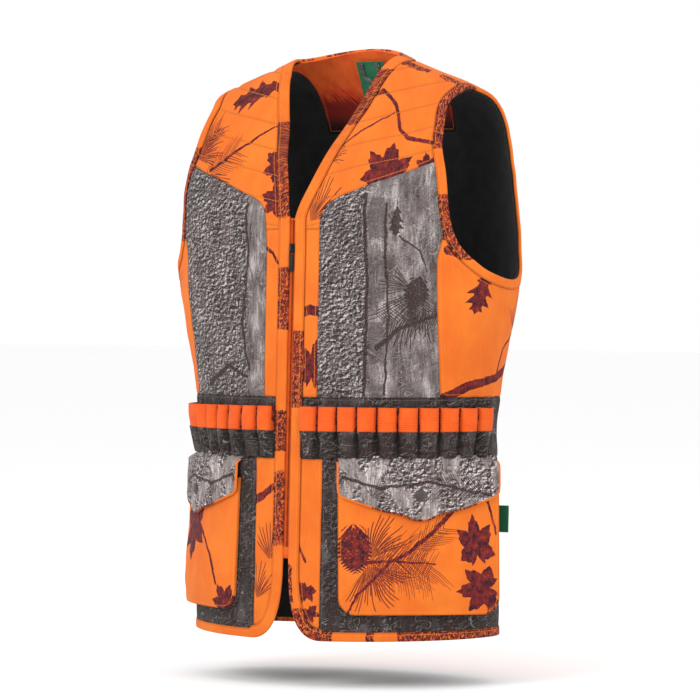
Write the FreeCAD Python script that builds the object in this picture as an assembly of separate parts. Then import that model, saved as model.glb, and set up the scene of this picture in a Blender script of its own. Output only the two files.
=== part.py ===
"""Hunting vest: a zipped, sleeveless shell with quilted yokes, bellows pockets and cartridge loops.

The wearer faces -Y, the wearer's left side is +X and +Z is up. The origin is the base of the neck,
level with the points where the shoulder seams meet the neckline. Every length is in millimetres.
"""
import FreeCAD
import Part

import bisect
import math
import os

Vec = FreeCAD.Vector

# ---------------------------------------------------------------- driving dimensions
# The torso, one row for each level from the hem up to the neck ring: height at the front, side and
# back, half width, depth to the front and to the back, and how boxy the outline is (2 is an ellipse).
LEVELS = [
    (-741, -738, -743, 214, 150.3, 122, 2.0),
    (-640, -640, -640, 215, 146.2, 121, 2.0),
    (-540, -540, -540, 216, 142.2, 119, 2.0),
    (-455, -455, -455, 213, 138.8, 116, 2.0),
    (-365, -365, -365, 230, 135.2, 118, 2.1),
    (-285, -285, -280, 245, 132.0, 122, 2.2),
    (-240, -215, -215, 237, 130.2, 125, 2.5),
    (-200, -150, -150, 226, 128.6, 124, 2.8),
    (-168, -95, -100, 217, 116, 118, 2.8),
    (-142, -58, -68, 205, 105, 108, 2.6),
    (-122, -37, -40, 176, 94, 95, 2.4),
    (-108, -20, -15, 130, 83, 78, 2.2),
    (-95, 0, 14, 76, 70, 56, 2.0),
]
TOP = len(LEVELS) - 1

SHELL = 2.4  # the outer cloth
LINING_OUT, LINING_IN = -3.2, -4.4
BINDING_PROUD = 0.8
BINDING_IN = -3.0
EDGE_GAP = 4.2  # from the centre plane to each front edge
BINDING = 15.8  # width of the binding along the fronts, neck and hem
ARMHOLE_BINDING = 12.0

CHEST_SIDE_TOP, CHEST_SIDE_BOTTOM = 191.0, 185.0  # half widths at the seam beside the chest panel
CHEST_FRONT = 40.0  # half width of the orange band beside the zip
WAIST_TOP, WAIST_BOTTOM = -434.0, -512.0
LOWER_FRONT = 50.0
BACK_SIDE = 185.0
BACK_YOKE = -150.0
FACING_BOTTOM = -92.0
SIDE_TAB = 5.0  # degrees round from the side towards the back

ZIP_TILT = math.atan(0.04)  # the front leans out towards the hem
ZIP_TOP, ZIP_BOTTOM = -208.0, -637.0
SLIDER_HEIGHT = -246.0
TOOTH_IN, TOOTH_OUT = 0.6, 2.6
TAPE_WIDTH = 15.5
PULL_LENGTH = 22.0

LOOPS = 10
LOOP_DEPTH = 11.0
PLEAT_DEPTH = 2.4  # of the holder's foot, where each loop's cloth is sewn flat
LOOPS_START, LOOPS_END = -82.0, -1.0  # degrees round the waist
LOOP_TOP, LOOP_BOTTOM, HOLDER_BOTTOM = -446.0, -477.0, -510.0
ELASTIC = 1.3

POCKET_TURN = math.radians(38)  # how far each pocket turns from the front to the side
POCKET_SHIFT = 75.0  # of its middle, along its own width
POCKET_WIDTH = 204.0
POCKET_TOP, POCKET_BOTTOM = -537.0, -706.0
POCKET_CORNER = 22.0
POCKET_ROUND = 270.0  # radius of the pocket's face in plan
POCKET_LEAN = math.radians(2.5)
HINGE_STAND = 7.0  # of the flap's hinge line off the body
HINGE_Z = WAIST_BOTTOM - 1
FLAP_WIDTH = 202.0
FLAP_CORNER_Z, FLAP_TIP_Z = -556.0, -586.0
CLOTH = 1.6
SNAP_Z = -556.0
SNAP_R = 7.5
SNAP_GAP = 2.6  # between the closed flap and the pocket

FAR = 400.0


# ---------------------------------------------------------------- the torso
def level(t):
    """The torso's row at level t, between the rows by a Catmull-Rom curve."""
    i = min(max(int(math.floor(t)), 0), TOP - 1)
    f = t - i
    rows = [LEVELS[min(max(i + k, 0), TOP)] for k in (-1, 0, 1, 2)]
    weights = (
        -0.5 * f + f * f - 0.5 * f**3,
        1 - 2.5 * f * f + 1.5 * f**3,
        0.5 * f + 2 * f * f - 1.5 * f**3,
        -0.5 * f * f + 0.5 * f**3,
    )
    return [sum(w * r[k] for w, r in zip(weights, rows)) for k in range(len(LEVELS[0]))]


def torso_point(t, angle):
    """A point on the torso: angle 0 is the side, -90 degrees the front and 90 degrees the back."""
    z_front, z_side, z_back, a, b_front, b_back, n = level(t)
    c, s = math.cos(angle), math.sin(angle)
    b, z_end = (b_front, z_front) if s < 0 else (b_back, z_back)
    r = (abs(c / a) ** n + abs(s / b) ** n) ** (-1 / n)
    return Vec(r * c, r * s, z_side + (z_end - z_side) * (r * s / b) ** 2)


def skin_point(t, angle, offset):
    """A point that stands off the torso by offset, along its outward normal."""
    e = 1e-3
    low, high = max(t - e, 0), min(t + e, TOP)
    up = torso_point(high, angle) - torso_point(low, angle)
    round_ = torso_point(t, angle + e) - torso_point(t, angle - e)
    normal = round_.cross(up).normalize()
    return torso_point(t, angle) + normal * offset


def surface_face(offset, angles, levels):
    surface = Part.BSplineSurface()
    surface.interpolate([[skin_point(t, a, offset) for a in angles] for t in levels])
    return surface.toShape()


def spread(low, high, count):
    return [low + (high - low) * k / (count - 1) for k in range(count)]


def skin(inner, outer, start, end, columns=41, rows=61):
    """A closed solid of the torso's skin between two offsets and two angles in degrees."""
    angles = spread(math.radians(start), math.radians(end), columns)
    levels = spread(0, TOP, rows)
    faces = [surface_face(outer, angles, levels), surface_face(inner, angles, levels)]
    pairs = []
    for edge in faces[0].Edges:
        middle = edge.valueAt((edge.FirstParameter + edge.LastParameter) / 2)
        twin = min(
            faces[1].Edges,
            key=lambda e: (e.valueAt((e.FirstParameter + e.LastParameter) / 2) - middle).Length,
        )
        pairs.append(Part.makeRuledSurface(edge, twin))
    shell = Part.makeShell(faces + pairs)
    shell.sewShape()
    solid = Part.makeSolid(shell)
    if solid.Volume < 0:
        solid.reverse()
    return solid


# ---------------------------------------------------------------- cutters
def curve(points):
    spline = Part.BSplineCurve()
    spline.interpolate(points)
    return spline.toShape()


def prism(edges, direction):
    """The solid that a closed outline sweeps along direction."""
    return Part.Face(Part.Wire(edges)).extrude(direction)


def polygon(points):
    points = points + [points[0]]
    return [Part.makeLine(p, q) for p, q in zip(points, points[1:])]


def front_box(x0, x1, z0, z1):
    """Everything in front of the shoulder line between two widths and two heights."""
    return Part.makeBox(x1 - x0, FAR, z1 - z0, Vec(x0, -FAR, z0))


def back_box(x0, x1, z0, z1):
    return Part.makeBox(x1 - x0, FAR, z1 - z0, Vec(x0, 0, z0))


def front_outline(inset):
    """The left front as seen from the front: its edge stands inset inside the real edge."""
    x = EDGE_GAP + inset
    hem = LEVELS[0][0] - 6 + (inset + 3 if inset else 0)
    slant = inset * 1.06
    neck = [
        Vec(77 + slant, -FAR, 12),
        Vec(60 + slant, -FAR, -45),
        Vec(37 + slant, -FAR, -106),
        Vec(14 + slant, -FAR, -172),
        Vec(x, -FAR, ZIP_TOP + 2 - inset * 0.2),
    ]
    corner_top = Vec(x, -FAR, ZIP_BOTTOM - 4)
    corner_end = Vec(x + 52, -FAR, hem)
    corner = Part.BezierCurve()
    corner.setPoles(
        [corner_top, corner_top - Vec(0, 0, 58), corner_end - Vec(40, 0, 0), corner_end]
    )
    outer = [corner_end, Vec(FAR, -FAR, hem), Vec(FAR, -FAR, 12), neck[0]]
    edges = [curve(neck), Part.makeLine(neck[-1], corner_top), corner.toShape()]
    edges += [Part.makeLine(p, q) for p, q in zip(outer, outer[1:])]
    return prism(edges, Vec(0, FAR, 0))


def armhole(grow):
    """The left armhole as a solid along X; grow widens it, less where the shoulder lies flat."""
    middle = Vec(0, -8, -165)
    shoulder, steep = -43, -115
    outline = [
        (-6, -43), (-44, -62), (-70, -106), (-80, -152), (-82, -200), (-73, -242), (-49, -270),
        (-18, -283), (16, -285), (46, -271), (63, -236), (67, -190), (63, -130), (50, -82), (26, -53),
    ]
    points = []
    for y, z in outline:
        p = Vec(0, y, z)
        share = 0.36 + 0.64 * min((shoulder - z) / (shoulder - steep), 1)
        points.append(p + (p - middle).normalize() * grow * share + Vec(120, 0, 0))
    spline = Part.BSplineCurve()
    spline.interpolate(points, PeriodicFlag=True)
    return prism([spline.toShape()], Vec(FAR, 0, 0))


def mirrored(shape):
    return shape.mirror(Vec(0, 0, 0), Vec(1, 0, 0))


# ---------------------------------------------------------------- the shell's panels
def chest_seam():
    """Everything below the seam between the yoke and the chest panel, and outside the orange band."""
    seam = [
        (CHEST_FRONT, -230), (41.5, -208), (48, -193), (61, -183), (82, -175),
        (110, -164), (148, -151), (190, -135), (240, -112),
    ]
    points = [Vec(x, -FAR, z) for x, z in seam]
    corner = [points[-1], Vec(FAR, -FAR, -112), Vec(FAR, -FAR, WAIST_TOP)]
    corner += [Vec(CHEST_FRONT, -FAR, WAIST_TOP), points[0]]
    edges = [curve(points)] + [Part.makeLine(p, q) for p, q in zip(corner, corner[1:])]
    return prism(edges, Vec(0, FAR, 0))


def side_seam():
    """Everything inside the seam between the chest panel and the side panel."""
    corners = [(0, 20), (CHEST_SIDE_TOP + 8, 20), (CHEST_SIDE_TOP + 8, -225), (CHEST_SIDE_TOP, -262)]
    corners += [(CHEST_SIDE_BOTTOM, WAIST_TOP), (0, WAIST_TOP)]
    return prism(polygon([Vec(x, -FAR, z) for x, z in corners]), Vec(0, FAR, 0))


def left_panels():
    """The left front's cloth panels, the armhole binding, the front binding and the lining."""
    hole, hole_rim = armhole(0), armhole(ARMHOLE_BINDING)
    region, panel_region = front_outline(0), front_outline(BINDING)
    cloth = skin(-SHELL, 0, -90, 70)
    front = cloth.common(panel_region).cut(hole_rim)
    side_cut = back_box(-FAR, BACK_SIDE, -FAR * 3, FAR)
    back_part = cloth.common(back_box(-FAR, FAR, LEVELS[0][2] + BINDING, -150)).cut(side_cut)
    back_part = back_part.cut(hole_rim)
    chest, inside = chest_seam(), side_seam()
    above_waist = front.common(front_box(0, FAR, WAIST_TOP, FAR))
    made = {}
    made["left_chest_panel"] = above_waist.common(chest).common(inside)
    made["left_centre_band"] = above_waist.cut(chest).common(front_box(0, FAR, WAIST_TOP, -222))
    yoke = above_waist.cut(chest).common(front_box(0, FAR, -222, FAR))
    made["left_front_yoke"] = yoke
    side_front = above_waist.common(chest).cut(inside)
    side_back = back_part.common(back_box(0, FAR, WAIST_TOP, -150))
    made["left_side_panel"] = side_front.fuse(side_back).removeSplitter()
    band = [front.common(front_box(0, FAR, WAIST_BOTTOM, WAIST_TOP))]
    band.append(back_part.common(back_box(0, FAR, WAIST_BOTTOM, WAIST_TOP)))
    made["left_waist_band"] = band[0].fuse(band[1]).removeSplitter()
    lower = front.common(front_box(0, FAR, -FAR * 2, WAIST_BOTTOM))
    made["left_lower_centre_band"] = lower.common(front_box(0, LOWER_FRONT, -FAR * 2, FAR))
    lower_side = lower.common(front_box(LOWER_FRONT, FAR, -FAR * 2, FAR))
    lower_back = back_part.common(back_box(0, FAR, -FAR * 2, WAIST_BOTTOM))
    made["left_lower_panel"] = lower_side.fuse(lower_back).removeSplitter()

    rim = skin(BINDING_IN, BINDING_PROUD, -90, 90)
    edge = rim.common(region).cut(panel_region)
    edge = edge.common(front_box(0, FAR, -FAR * 2, ZIP_TOP))
    made["left_front_binding"] = edge.cut(hole_rim)
    bound = rim.common(hole_rim).cut(hole)
    made["left_armhole_binding"] = bound.common(
        Part.makeBox(FAR, 2 * FAR, FAR, Vec(0, -FAR, -FAR - 20))
    )
    lining = skin(LINING_IN, LINING_OUT, -90, 0).common(region).cut(hole)
    made["left_lining"] = lining.common(front_box(EDGE_GAP + TAPE_WIDTH, FAR, -730, -4))
    return made


def centre_panels():
    """The back panels, the neckline and hem bindings, the back lining and the neck facing."""
    rims = [armhole(ARMHOLE_BINDING), mirrored(armhole(ARMHOLE_BINDING))]
    holes = [armhole(0), mirrored(armhole(0))]
    neck_hole = Part.Ellipse(Vec(0, 0, 0), 76 + BINDING, 56 + BINDING)
    neck_zone = prism([neck_hole.toShape()], Vec(0, 0, FAR)).translate(Vec(0, 0, -FAR / 2))
    hem_top = LEVELS[0][2] + BINDING
    back = skin(-SHELL, 0, -10, 190, columns=61)
    middle = back.common(back_box(-BACK_SIDE, BACK_SIDE, hem_top, FAR))
    upper = back.common(back_box(-FAR, FAR, -262, FAR)).cut(neck_zone)
    for rim in rims:
        upper = upper.cut(rim)
        middle = middle.cut(rim)
    made = {}
    made["back_yoke"] = upper.common(back_box(-FAR, FAR, BACK_YOKE, FAR))
    made["back_panel"] = middle.common(back_box(-FAR, FAR, WAIST_BOTTOM, BACK_YOKE))
    made["back_lower_panel"] = middle.common(back_box(-FAR, FAR, -FAR * 2, WAIST_BOTTOM))

    rim = skin(BINDING_IN, BINDING_PROUD, -10, 190, columns=61)
    made["back_hem_binding"] = rim.common(back_box(-FAR, FAR, -FAR * 2, hem_top))
    neck = rim.common(neck_zone).common(back_box(-FAR, FAR, -60, FAR))
    side = skin(BINDING_IN, BINDING_PROUD, -90, 10)
    strip = side.common(front_outline(0)).cut(front_outline(BINDING))
    strip = strip.common(front_box(0, FAR, ZIP_TOP, FAR))
    made["neckline_binding"] = neck.fuse([strip, mirrored(strip)]).removeSplitter()

    lining = skin(LINING_IN, LINING_OUT, -10, 190, columns=61)
    lining = lining.common(back_box(-FAR, FAR, -730, FAR))
    for hole in holes:
        lining = lining.cut(hole)
    facing_zone = back_box(-100, 100, FACING_BOTTOM, FAR)
    made["back_neck_facing"] = lining.common(facing_zone)
    made["back_lining"] = lining.cut(facing_zone).common(back_box(-FAR, FAR, -730, -6))
    return made


# ---------------------------------------------------------------- the zip
def on_zip(shape, height):
    """Moves a shape built at the origin, +Y inwards and +Z along the zip, onto the front."""
    placed = shape.copy()
    depth = 120.64 - 0.04 * height
    placed.rotate(Vec(0, 0, 0), Vec(1, 0, 0), -math.degrees(ZIP_TILT))
    placed.translate(Vec(0, -depth, height))
    return placed


def zip_box(x0, x1, y0, y1, z0, z1):
    return Part.makeBox(x1 - x0, y1 - y0, z1 - z0, Vec(x0, y0, z0))


def zip_parts():
    """Tapes, teeth, stops, slider and pull. Y is measured inwards from the torso's skin."""
    length = (ZIP_TOP - ZIP_BOTTOM) / math.cos(ZIP_TILT)
    made = {}
    tape = zip_box(TOOTH_IN + 0.6, TAPE_WIDTH, 3.2, 4.0, 0, length)
    teeth = zip_box(TOOTH_IN, TOOTH_OUT, 1.6, 5.4, 14, length - 3).cut(tape)
    made["left_zip_tape"] = on_zip(tape, ZIP_BOTTOM)
    made["left_zip_teeth"] = on_zip(teeth, ZIP_BOTTOM)
    stop = zip_box(TOOTH_IN, TOOTH_OUT + 0.8, 1.4, 5.6, length - 3, length).cut(tape)
    stops = Part.makeCompound([stop, mirrored(stop)])
    made["zip_top_stops"] = on_zip(stops, ZIP_BOTTOM)
    retainer = zip_box(-3.9, 3.9, 1.0, 6.2, -1, 13.5).cut(tape)
    retainer = retainer.cut(zip_box(-4.5, -0.5, 2.3, 4.9, -2, 15))
    pin = zip_box(-3.0, -0.7, 2.5, 4.7, 0, 13.5)
    made["zip_retainer_box"] = on_zip(retainer, ZIP_BOTTOM)
    made["zip_insertion_pin"] = on_zip(pin.cut(mirrored(tape)), ZIP_BOTTOM)

    plate_width, plate_length = 4.0, 12.0
    outline = Part.makeBox(2 * plate_width, 7.0, plate_length, Vec(-plate_width, 0, -plate_length / 2))
    body = outline.makeFillet(0.6, outline.Edges)
    channel = zip_box(-3.1, 3.1, 1.2, 5.8, -FAR, FAR)
    slot = zip_box(-6, 6, 2.9, 4.3, -FAR, FAR)
    post = zip_box(-0.35, 0.35, 0.6, 6.4, 0.5, plate_length / 2 - 0.8)
    bail = zip_box(-1.3, 1.3, -3.4, 0.4, -3.6, 3.6).cut(zip_box(-2, 2, -2.4, 0, -2.4, 2.4))
    body = body.cut(channel).cut(slot).fuse([post, bail]).removeSplitter()
    made["zip_slider"] = on_zip(body, SLIDER_HEIGHT)

    bar = Part.makeCylinder(0.7, 5.6, Vec(-2.8, -1.2, 0), Vec(1, 0, 0))
    arms = [zip_box(x, x + 1.0, -1.9, -0.5, -9.0, 0.7) for x in (-2.8, 1.8)]
    plate = zip_box(-2.8, 2.8, -1.9, -0.5, -12.0, -8.0)
    made["zip_puller"] = on_zip(bar.fuse(arms + [plate]).removeSplitter(), SLIDER_HEIGHT)
    tab = zip_box(-2.6, 2.6, -2.9, 0.5, -8.0 - PULL_LENGTH, -9.2)
    tab = tab.makeFillet(0.9, tab.Edges).cut(zip_box(-FAR, FAR, -2.0, -0.4, -12.1, 0))
    made["zip_pull_tab"] = on_zip(tab, SLIDER_HEIGHT)
    return made


# ---------------------------------------------------------------- cartridge loops
def waist_line(height, stands):
    """Points spread evenly from beside the zip to the side seam, each standing off the waist."""
    t = next(k / 50 for k in range(1, TOP * 50) if level(k / 50)[0] >= height)
    angles = spread(math.radians(LOOPS_START), math.radians(LOOPS_END), 400)
    reached = [0.0]
    for a, b in zip(angles, angles[1:]):
        reached.append(reached[-1] + (torso_point(t, b) - torso_point(t, a)).Length)
    points = []
    for k, stand in enumerate(stands):
        wanted = reached[-1] * k / (len(stands) - 1)
        angle = angles[min(bisect.bisect_left(reached, wanted), len(angles) - 1)]
        p = skin_point(t, angle, stand)
        points.append(Vec(p.x, p.y, height))
    return points


def loop_band(height, depth):
    """The outline in plan of a band sewn down between the loops, which stand depth proud."""
    steps = 10
    stands = []
    for k in range(LOOPS * steps + 1):
        bump = math.sin(math.pi * (k % steps) / steps) ** 0.9
        stands.append(0.9 + depth * bump)
    outer = waist_line(height, [s + ELASTIC for s in stands])
    inner = waist_line(height, stands)
    edges = [curve(outer), Part.makeLine(outer[-1], inner[-1])]
    edges += [curve(inner[::-1]), Part.makeLine(inner[0], outer[0])]
    return Part.Wire(edges)


def loop_parts():
    high = loop_band(LOOP_TOP, LOOP_DEPTH)
    low = loop_band(LOOP_BOTTOM, LOOP_DEPTH)
    foot = loop_band(HOLDER_BOTTOM, PLEAT_DEPTH)
    return {
        "left_cartridge_elastic": Part.makeLoft([high, low], True, True),
        "left_cartridge_holder": Part.makeLoft([low, foot], True, True),
    }


# ---------------------------------------------------------------- pockets
def pocket_reach():
    """How far the torso reaches along the pocket's outward direction, at the hinge line."""
    out = Vec(math.sin(POCKET_TURN), -math.cos(POCKET_TURN), 0)
    t = next(k / 50 for k in range(1, TOP * 50) if level(k / 50)[0] >= HINGE_Z)
    return max(torso_point(t, math.radians(-a)).dot(out) for a in range(5, 85))


def on_pocket(shape):
    """Moves a shape built on the hinge line, +X along it, -Y outwards and Z up, onto the vest."""
    placed = shape.copy()
    placed.rotate(Vec(0, 0, 0), Vec(1, 0, 0), -math.degrees(POCKET_LEAN))
    out = Vec(math.sin(POCKET_TURN), -math.cos(POCKET_TURN), 0)
    along = Vec(math.cos(POCKET_TURN), math.sin(POCKET_TURN), 0)
    hinge = out * (pocket_reach() + HINGE_STAND) + along * POCKET_SHIFT + Vec(0, 0, HINGE_Z)
    placed.rotate(Vec(0, 0, 0), Vec(0, 0, 1), math.degrees(POCKET_TURN))
    placed.translate(hinge)
    return placed


def bowed(outline, near, far):
    """Cloth bowed in plan, cut to an outline on the XZ plane; near and far are depths behind y = 0."""
    centre = Vec(0, POCKET_ROUND, -FAR)
    tube = Part.makeCylinder(POCKET_ROUND - near, 2 * FAR, centre)
    tube = tube.cut(Part.makeCylinder(POCKET_ROUND - far, 2 * FAR, centre))
    block = Part.Face(outline).extrude(Vec(0, FAR / 2, 0))
    block.translate(Vec(0, -FAR / 4, 0))
    return tube.common(block)


def pocket_outline(inset):
    """The bag's outline below the hinge: open corners at the top, rounded ones at the bottom."""
    half, r = POCKET_WIDTH / 2 - inset, POCKET_CORNER - inset
    top, low = POCKET_TOP - HINGE_Z + 2 * inset, POCKET_BOTTOM - HINGE_Z + inset
    bend = r * (1 - math.sqrt(0.5))
    right = Part.Arc(Vec(half, 0, low + r), Vec(half - bend, 0, low + bend), Vec(half - r, 0, low))
    left = Part.Arc(Vec(r - half, 0, low), Vec(bend - half, 0, low + bend), Vec(-half, 0, low + r))
    return Part.Wire(
        [
            Part.makeLine(Vec(-half, 0, top), Vec(half, 0, top)),
            Part.makeLine(Vec(half, 0, top), Vec(half, 0, low + r)),
            right.toShape(),
            Part.makeLine(Vec(half - r, 0, low), Vec(r - half, 0, low)),
            left.toShape(),
            Part.makeLine(Vec(-half, 0, low + r), Vec(-half, 0, top)),
        ]
    )


def flap_outline(grow):
    """The flap's outline below the hinge: square shoulders and a blunt point."""
    half, corner, tip = FLAP_WIDTH / 2 + grow, FLAP_CORNER_Z - HINGE_Z, FLAP_TIP_Z - HINGE_Z
    right = [(half, corner + 9), (half - 3, corner + 1), (half - 13, corner - 4), (50, corner - 17)]
    right += [(24, tip + 7), (10, tip + 1)]
    points = [Vec(x, 0, z - grow) for x, z in right] + [Vec(0, 0, tip - grow)]
    points += [Vec(-x, 0, z - grow) for x, z in reversed(right)]
    top = -1.0
    edges = [curve(points), Part.makeLine(points[-1], Vec(-half, 0, top))]
    edges.append(Part.makeLine(Vec(-half, 0, top), Vec(half, 0, top)))
    edges.append(Part.makeLine(Vec(half, 0, top), points[0]))
    return Part.Wire(edges)


def snap(radius, near, far):
    """A disc on the snap's axis between two depths behind the hinge plane."""
    return Part.makeCylinder(radius, far - near, Vec(0, near, SNAP_Z - HINGE_Z), Vec(0, 1, 0))


def pocket_parts():
    """Depths are measured inwards from the middle of the closed flap."""
    flap_out, flap_in = -CLOTH / 2, CLOTH / 2
    face_near = flap_in + SNAP_GAP
    face_far = face_near + CLOTH
    rivet, hole = 1.5, snap(1.6, -FAR / 4, FAR / 4)
    made = {}
    face = bowed(pocket_outline(0), face_near, face_far).cut(hole)
    made["left_pocket_face"] = on_pocket(face)
    wall = bowed(pocket_outline(0), face_far, 90).cut(bowed(pocket_outline(CLOTH), 0, 120))
    torso = skin(-60, 0, -90, 70)
    made["left_pocket_gusset"] = max(on_pocket(wall).cut(torso).Solids, key=lambda s: s.Volume)
    flap = bowed(flap_outline(0), flap_out, flap_in)
    piping = bowed(flap_outline(2.2), flap_out - 0.4, flap_in + 0.4)
    made["left_flap_piping"] = on_pocket(piping.cut(bowed(flap_outline(0), -9, 9)))
    made["left_pocket_flap"] = on_pocket(flap.cut(hole))
    cap = snap(SNAP_R, flap_out - 1.4, flap_out)
    cap = cap.makeFillet(0.9, [max(cap.Edges, key=lambda e: -e.BoundBox.YMax)])
    cap = cap.fuse(snap(rivet, flap_out - 0.2, flap_in + 0.5)).removeSplitter()
    made["left_snap_cap"] = on_pocket(cap)
    socket = snap(6.0, flap_in, flap_in + 2.0).cut(snap(2.6, flap_in + 0.5, face_far))
    made["left_snap_socket"] = on_pocket(socket.cut(snap(rivet, 0, flap_in + 0.5)).cut(flap))
    stud = snap(5.6, face_near - 0.4, face_near).fuse(snap(2.25, face_near - 1.8, face_near))
    made["left_snap_stud"] = on_pocket(stud.removeSplitter())
    post = snap(5.2, face_far, face_far + 0.7).fuse(snap(rivet, face_near, face_far + 0.5))
    made["left_snap_post"] = on_pocket(post.removeSplitter().cut(face))
    return made


# ---------------------------------------------------------------- labels and hanger loop
def labels():
    """The woven neck label, the hanger loop over it and the folded tab in the left side seam."""
    made = {}
    lean = 24  # degrees: the inside of the back slopes away below the neck
    seat = skin_point(TOP, math.radians(90), LINING_IN)

    def at_neck(shape):
        placed = shape.copy()
        placed.rotate(Vec(0, 0, 0), Vec(1, 0, 0), lean)
        placed.translate(seat + Vec(0, -1.2, -14))
        return placed

    label = Part.makeBox(42, 0.8, 62, Vec(-21, -0.8, -62))
    made["neck_label"] = at_neck(label)
    strap = 5.0
    ring = Part.makeCylinder(15, 1.4, Vec(0, -3.4, -14), Vec(0, 1, 0))
    ring = ring.cut(Part.makeCylinder(15 - strap, 3, Vec(0, -4, -14), Vec(0, 1, 0)))
    ring = ring.common(Part.makeBox(60, 9, 30, Vec(-30, -6, -44)))
    legs = [Part.makeBox(strap, 1.4, 14, Vec(x, -3.4, -14)) for x in (-15, 15 - strap)]
    made["hanger_loop"] = at_neck(ring.fuse(legs).removeSplitter())
    tab = Part.makeBox(17, 1.2, 34, Vec(0.5, -0.6, -17))
    tab.translate(skin_point(1.5, math.radians(SIDE_TAB), 0))
    made["side_label"] = tab
    return made


# ---------------------------------------------------------------- build
def main():
    os.makedirs("parts", exist_ok=True)
    left = {**left_panels(), **loop_parts(), **pocket_parts()}
    whole = {**centre_panels(), **labels()}
    for name, shape in zip_parts().items():
        (left if name.startswith("left_") else whole)[name] = shape
    left["left_front_binding"] = left["left_front_binding"].cut(left["left_zip_tape"])
    for name, shape in left.items():
        whole[name] = shape
        whole[name.replace("left_", "right_")] = mirrored(shape)
    for name, shape in whole.items():
        shape.exportStep(os.path.join("parts", name + ".step"))
        print(name, "valid", shape.isValid(), "solids", len(shape.Solids), "mm3", round(shape.Volume))


main()
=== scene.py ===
import math

import bpy
import numpy as np
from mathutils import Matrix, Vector


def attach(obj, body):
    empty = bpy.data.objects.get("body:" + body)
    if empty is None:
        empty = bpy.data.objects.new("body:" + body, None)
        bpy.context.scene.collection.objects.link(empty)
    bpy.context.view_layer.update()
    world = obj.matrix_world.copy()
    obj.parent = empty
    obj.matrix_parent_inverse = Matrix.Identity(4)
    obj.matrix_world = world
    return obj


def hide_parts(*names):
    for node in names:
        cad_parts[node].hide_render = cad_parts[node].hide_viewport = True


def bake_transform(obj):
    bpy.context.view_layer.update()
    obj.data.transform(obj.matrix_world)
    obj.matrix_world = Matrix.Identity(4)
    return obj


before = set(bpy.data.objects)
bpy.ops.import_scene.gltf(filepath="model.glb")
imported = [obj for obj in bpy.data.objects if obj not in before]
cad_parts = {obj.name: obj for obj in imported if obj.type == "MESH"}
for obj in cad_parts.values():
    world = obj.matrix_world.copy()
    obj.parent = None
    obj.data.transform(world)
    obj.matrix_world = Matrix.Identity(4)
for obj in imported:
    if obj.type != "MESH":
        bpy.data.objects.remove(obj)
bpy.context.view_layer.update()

MM = 0.001

# ---------------------------------------------------------------- the torso under the cloth
# For each level from the hem up to the neck ring: height at the front, side and back, half width,
# depth to the front and to the back, and how boxy the outline is.
LEVELS = np.array([
    (-741, -738, -743, 214, 150.3, 122, 2.0), (-640, -640, -640, 215, 146.2, 121, 2.0),
    (-540, -540, -540, 216, 142.2, 119, 2.0), (-455, -455, -455, 213, 138.8, 116, 2.0),
    (-365, -365, -365, 230, 135.2, 118, 2.1), (-285, -285, -280, 245, 132.0, 122, 2.2),
    (-240, -215, -215, 237, 130.2, 125, 2.5), (-200, -150, -150, 226, 128.6, 124, 2.8),
    (-168, -95, -100, 217, 116, 118, 2.8), (-142, -58, -68, 205, 105, 108, 2.6),
    (-122, -37, -40, 176, 94, 95, 2.4), (-108, -20, -15, 130, 83, 78, 2.2),
    (-95, 0, 14, 76, 70, 56, 2.0)], float)
TOP = len(LEVELS) - 1
NECK_HALF, NECK_BACK = LEVELS[-1, [3, 5]]

EDGE_GAP, BINDING, ARMHOLE_BINDING, HEM_BINDING = 4.2, 15.8, 12.0, 12.8
CHEST_FRONT, LOWER_FRONT, BACK_SIDE = 40.0, 50.0, 185.0
WAIST_TOP, WAIST_BOTTOM, BAND_TOP, BACK_YOKE = -434.0, -512.0, -222.0, -150.0
FACING_HALF, FACING_BOTTOM = 100.0, -92.0
ZIP_TOP, ZIP_BOTTOM = -208.0, -637.0
CLOTH = 1.5
HEM_LEVEL = 101.0  # millimetres of cloth to one level at the hem
GATHER_WAVE = 25.6
QUILT_PITCH, QUILT_SLOPE, QUILT_START = 31.0, 0.21, -99.0


def level(t):
    """The torso's row at each level, by a Catmull-Rom curve between the rows."""
    i = np.clip(np.floor(t).astype(int), 0, TOP - 1)
    f = (t - i)[..., None]
    before, here, after, beyond = (LEVELS[np.clip(i + k, 0, TOP)] for k in (-1, 0, 1, 2))
    return (
        (-0.5 * f + f * f - 0.5 * f**3) * before
        + (1 - 2.5 * f * f + 1.5 * f**3) * here
        + (0.5 * f + 2 * f * f - 1.5 * f**3) * after
        + (-0.5 * f * f + 0.5 * f**3) * beyond
    )


def torso(t, angle):
    """Points on the torso: angle 0 is the side, -pi/2 the front and pi/2 the back."""
    z_front, z_side, z_back, a, b_front, b_back, n = np.moveaxis(level(t), -1, 0)
    c, s = np.cos(angle), np.sin(angle)
    b, z_end = np.where(s < 0, b_front, b_back), np.where(s < 0, z_front, z_back)
    r = (np.abs(c / a) ** n + np.abs(s / b) ** n) ** (-1 / n)
    return np.stack([r * c, r * s, z_side + (z_end - z_side) * (r * s / b) ** 2], -1)


def outward(t, angle):
    e = 1e-3
    up = torso(np.minimum(t + e, TOP), angle) - torso(np.maximum(t - e, 0), angle)
    around = torso(t, angle + e) - torso(t, angle - e)
    normal = np.cross(around, up)
    return normal / np.linalg.norm(normal, axis=-1, keepdims=True)


ARC_LEVELS = np.linspace(0, TOP, 97)
ARC_ANGLES = np.linspace(-math.pi / 2, math.pi / 2, 181)
_grid = torso(*np.meshgrid(ARC_LEVELS, ARC_ANGLES, indexing="ij"))
_steps = np.linalg.norm(np.diff(_grid, axis=1), axis=-1)
ARCS = np.concatenate([np.zeros((len(ARC_LEVELS), 1)), np.cumsum(_steps, axis=1)], axis=1)


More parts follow.
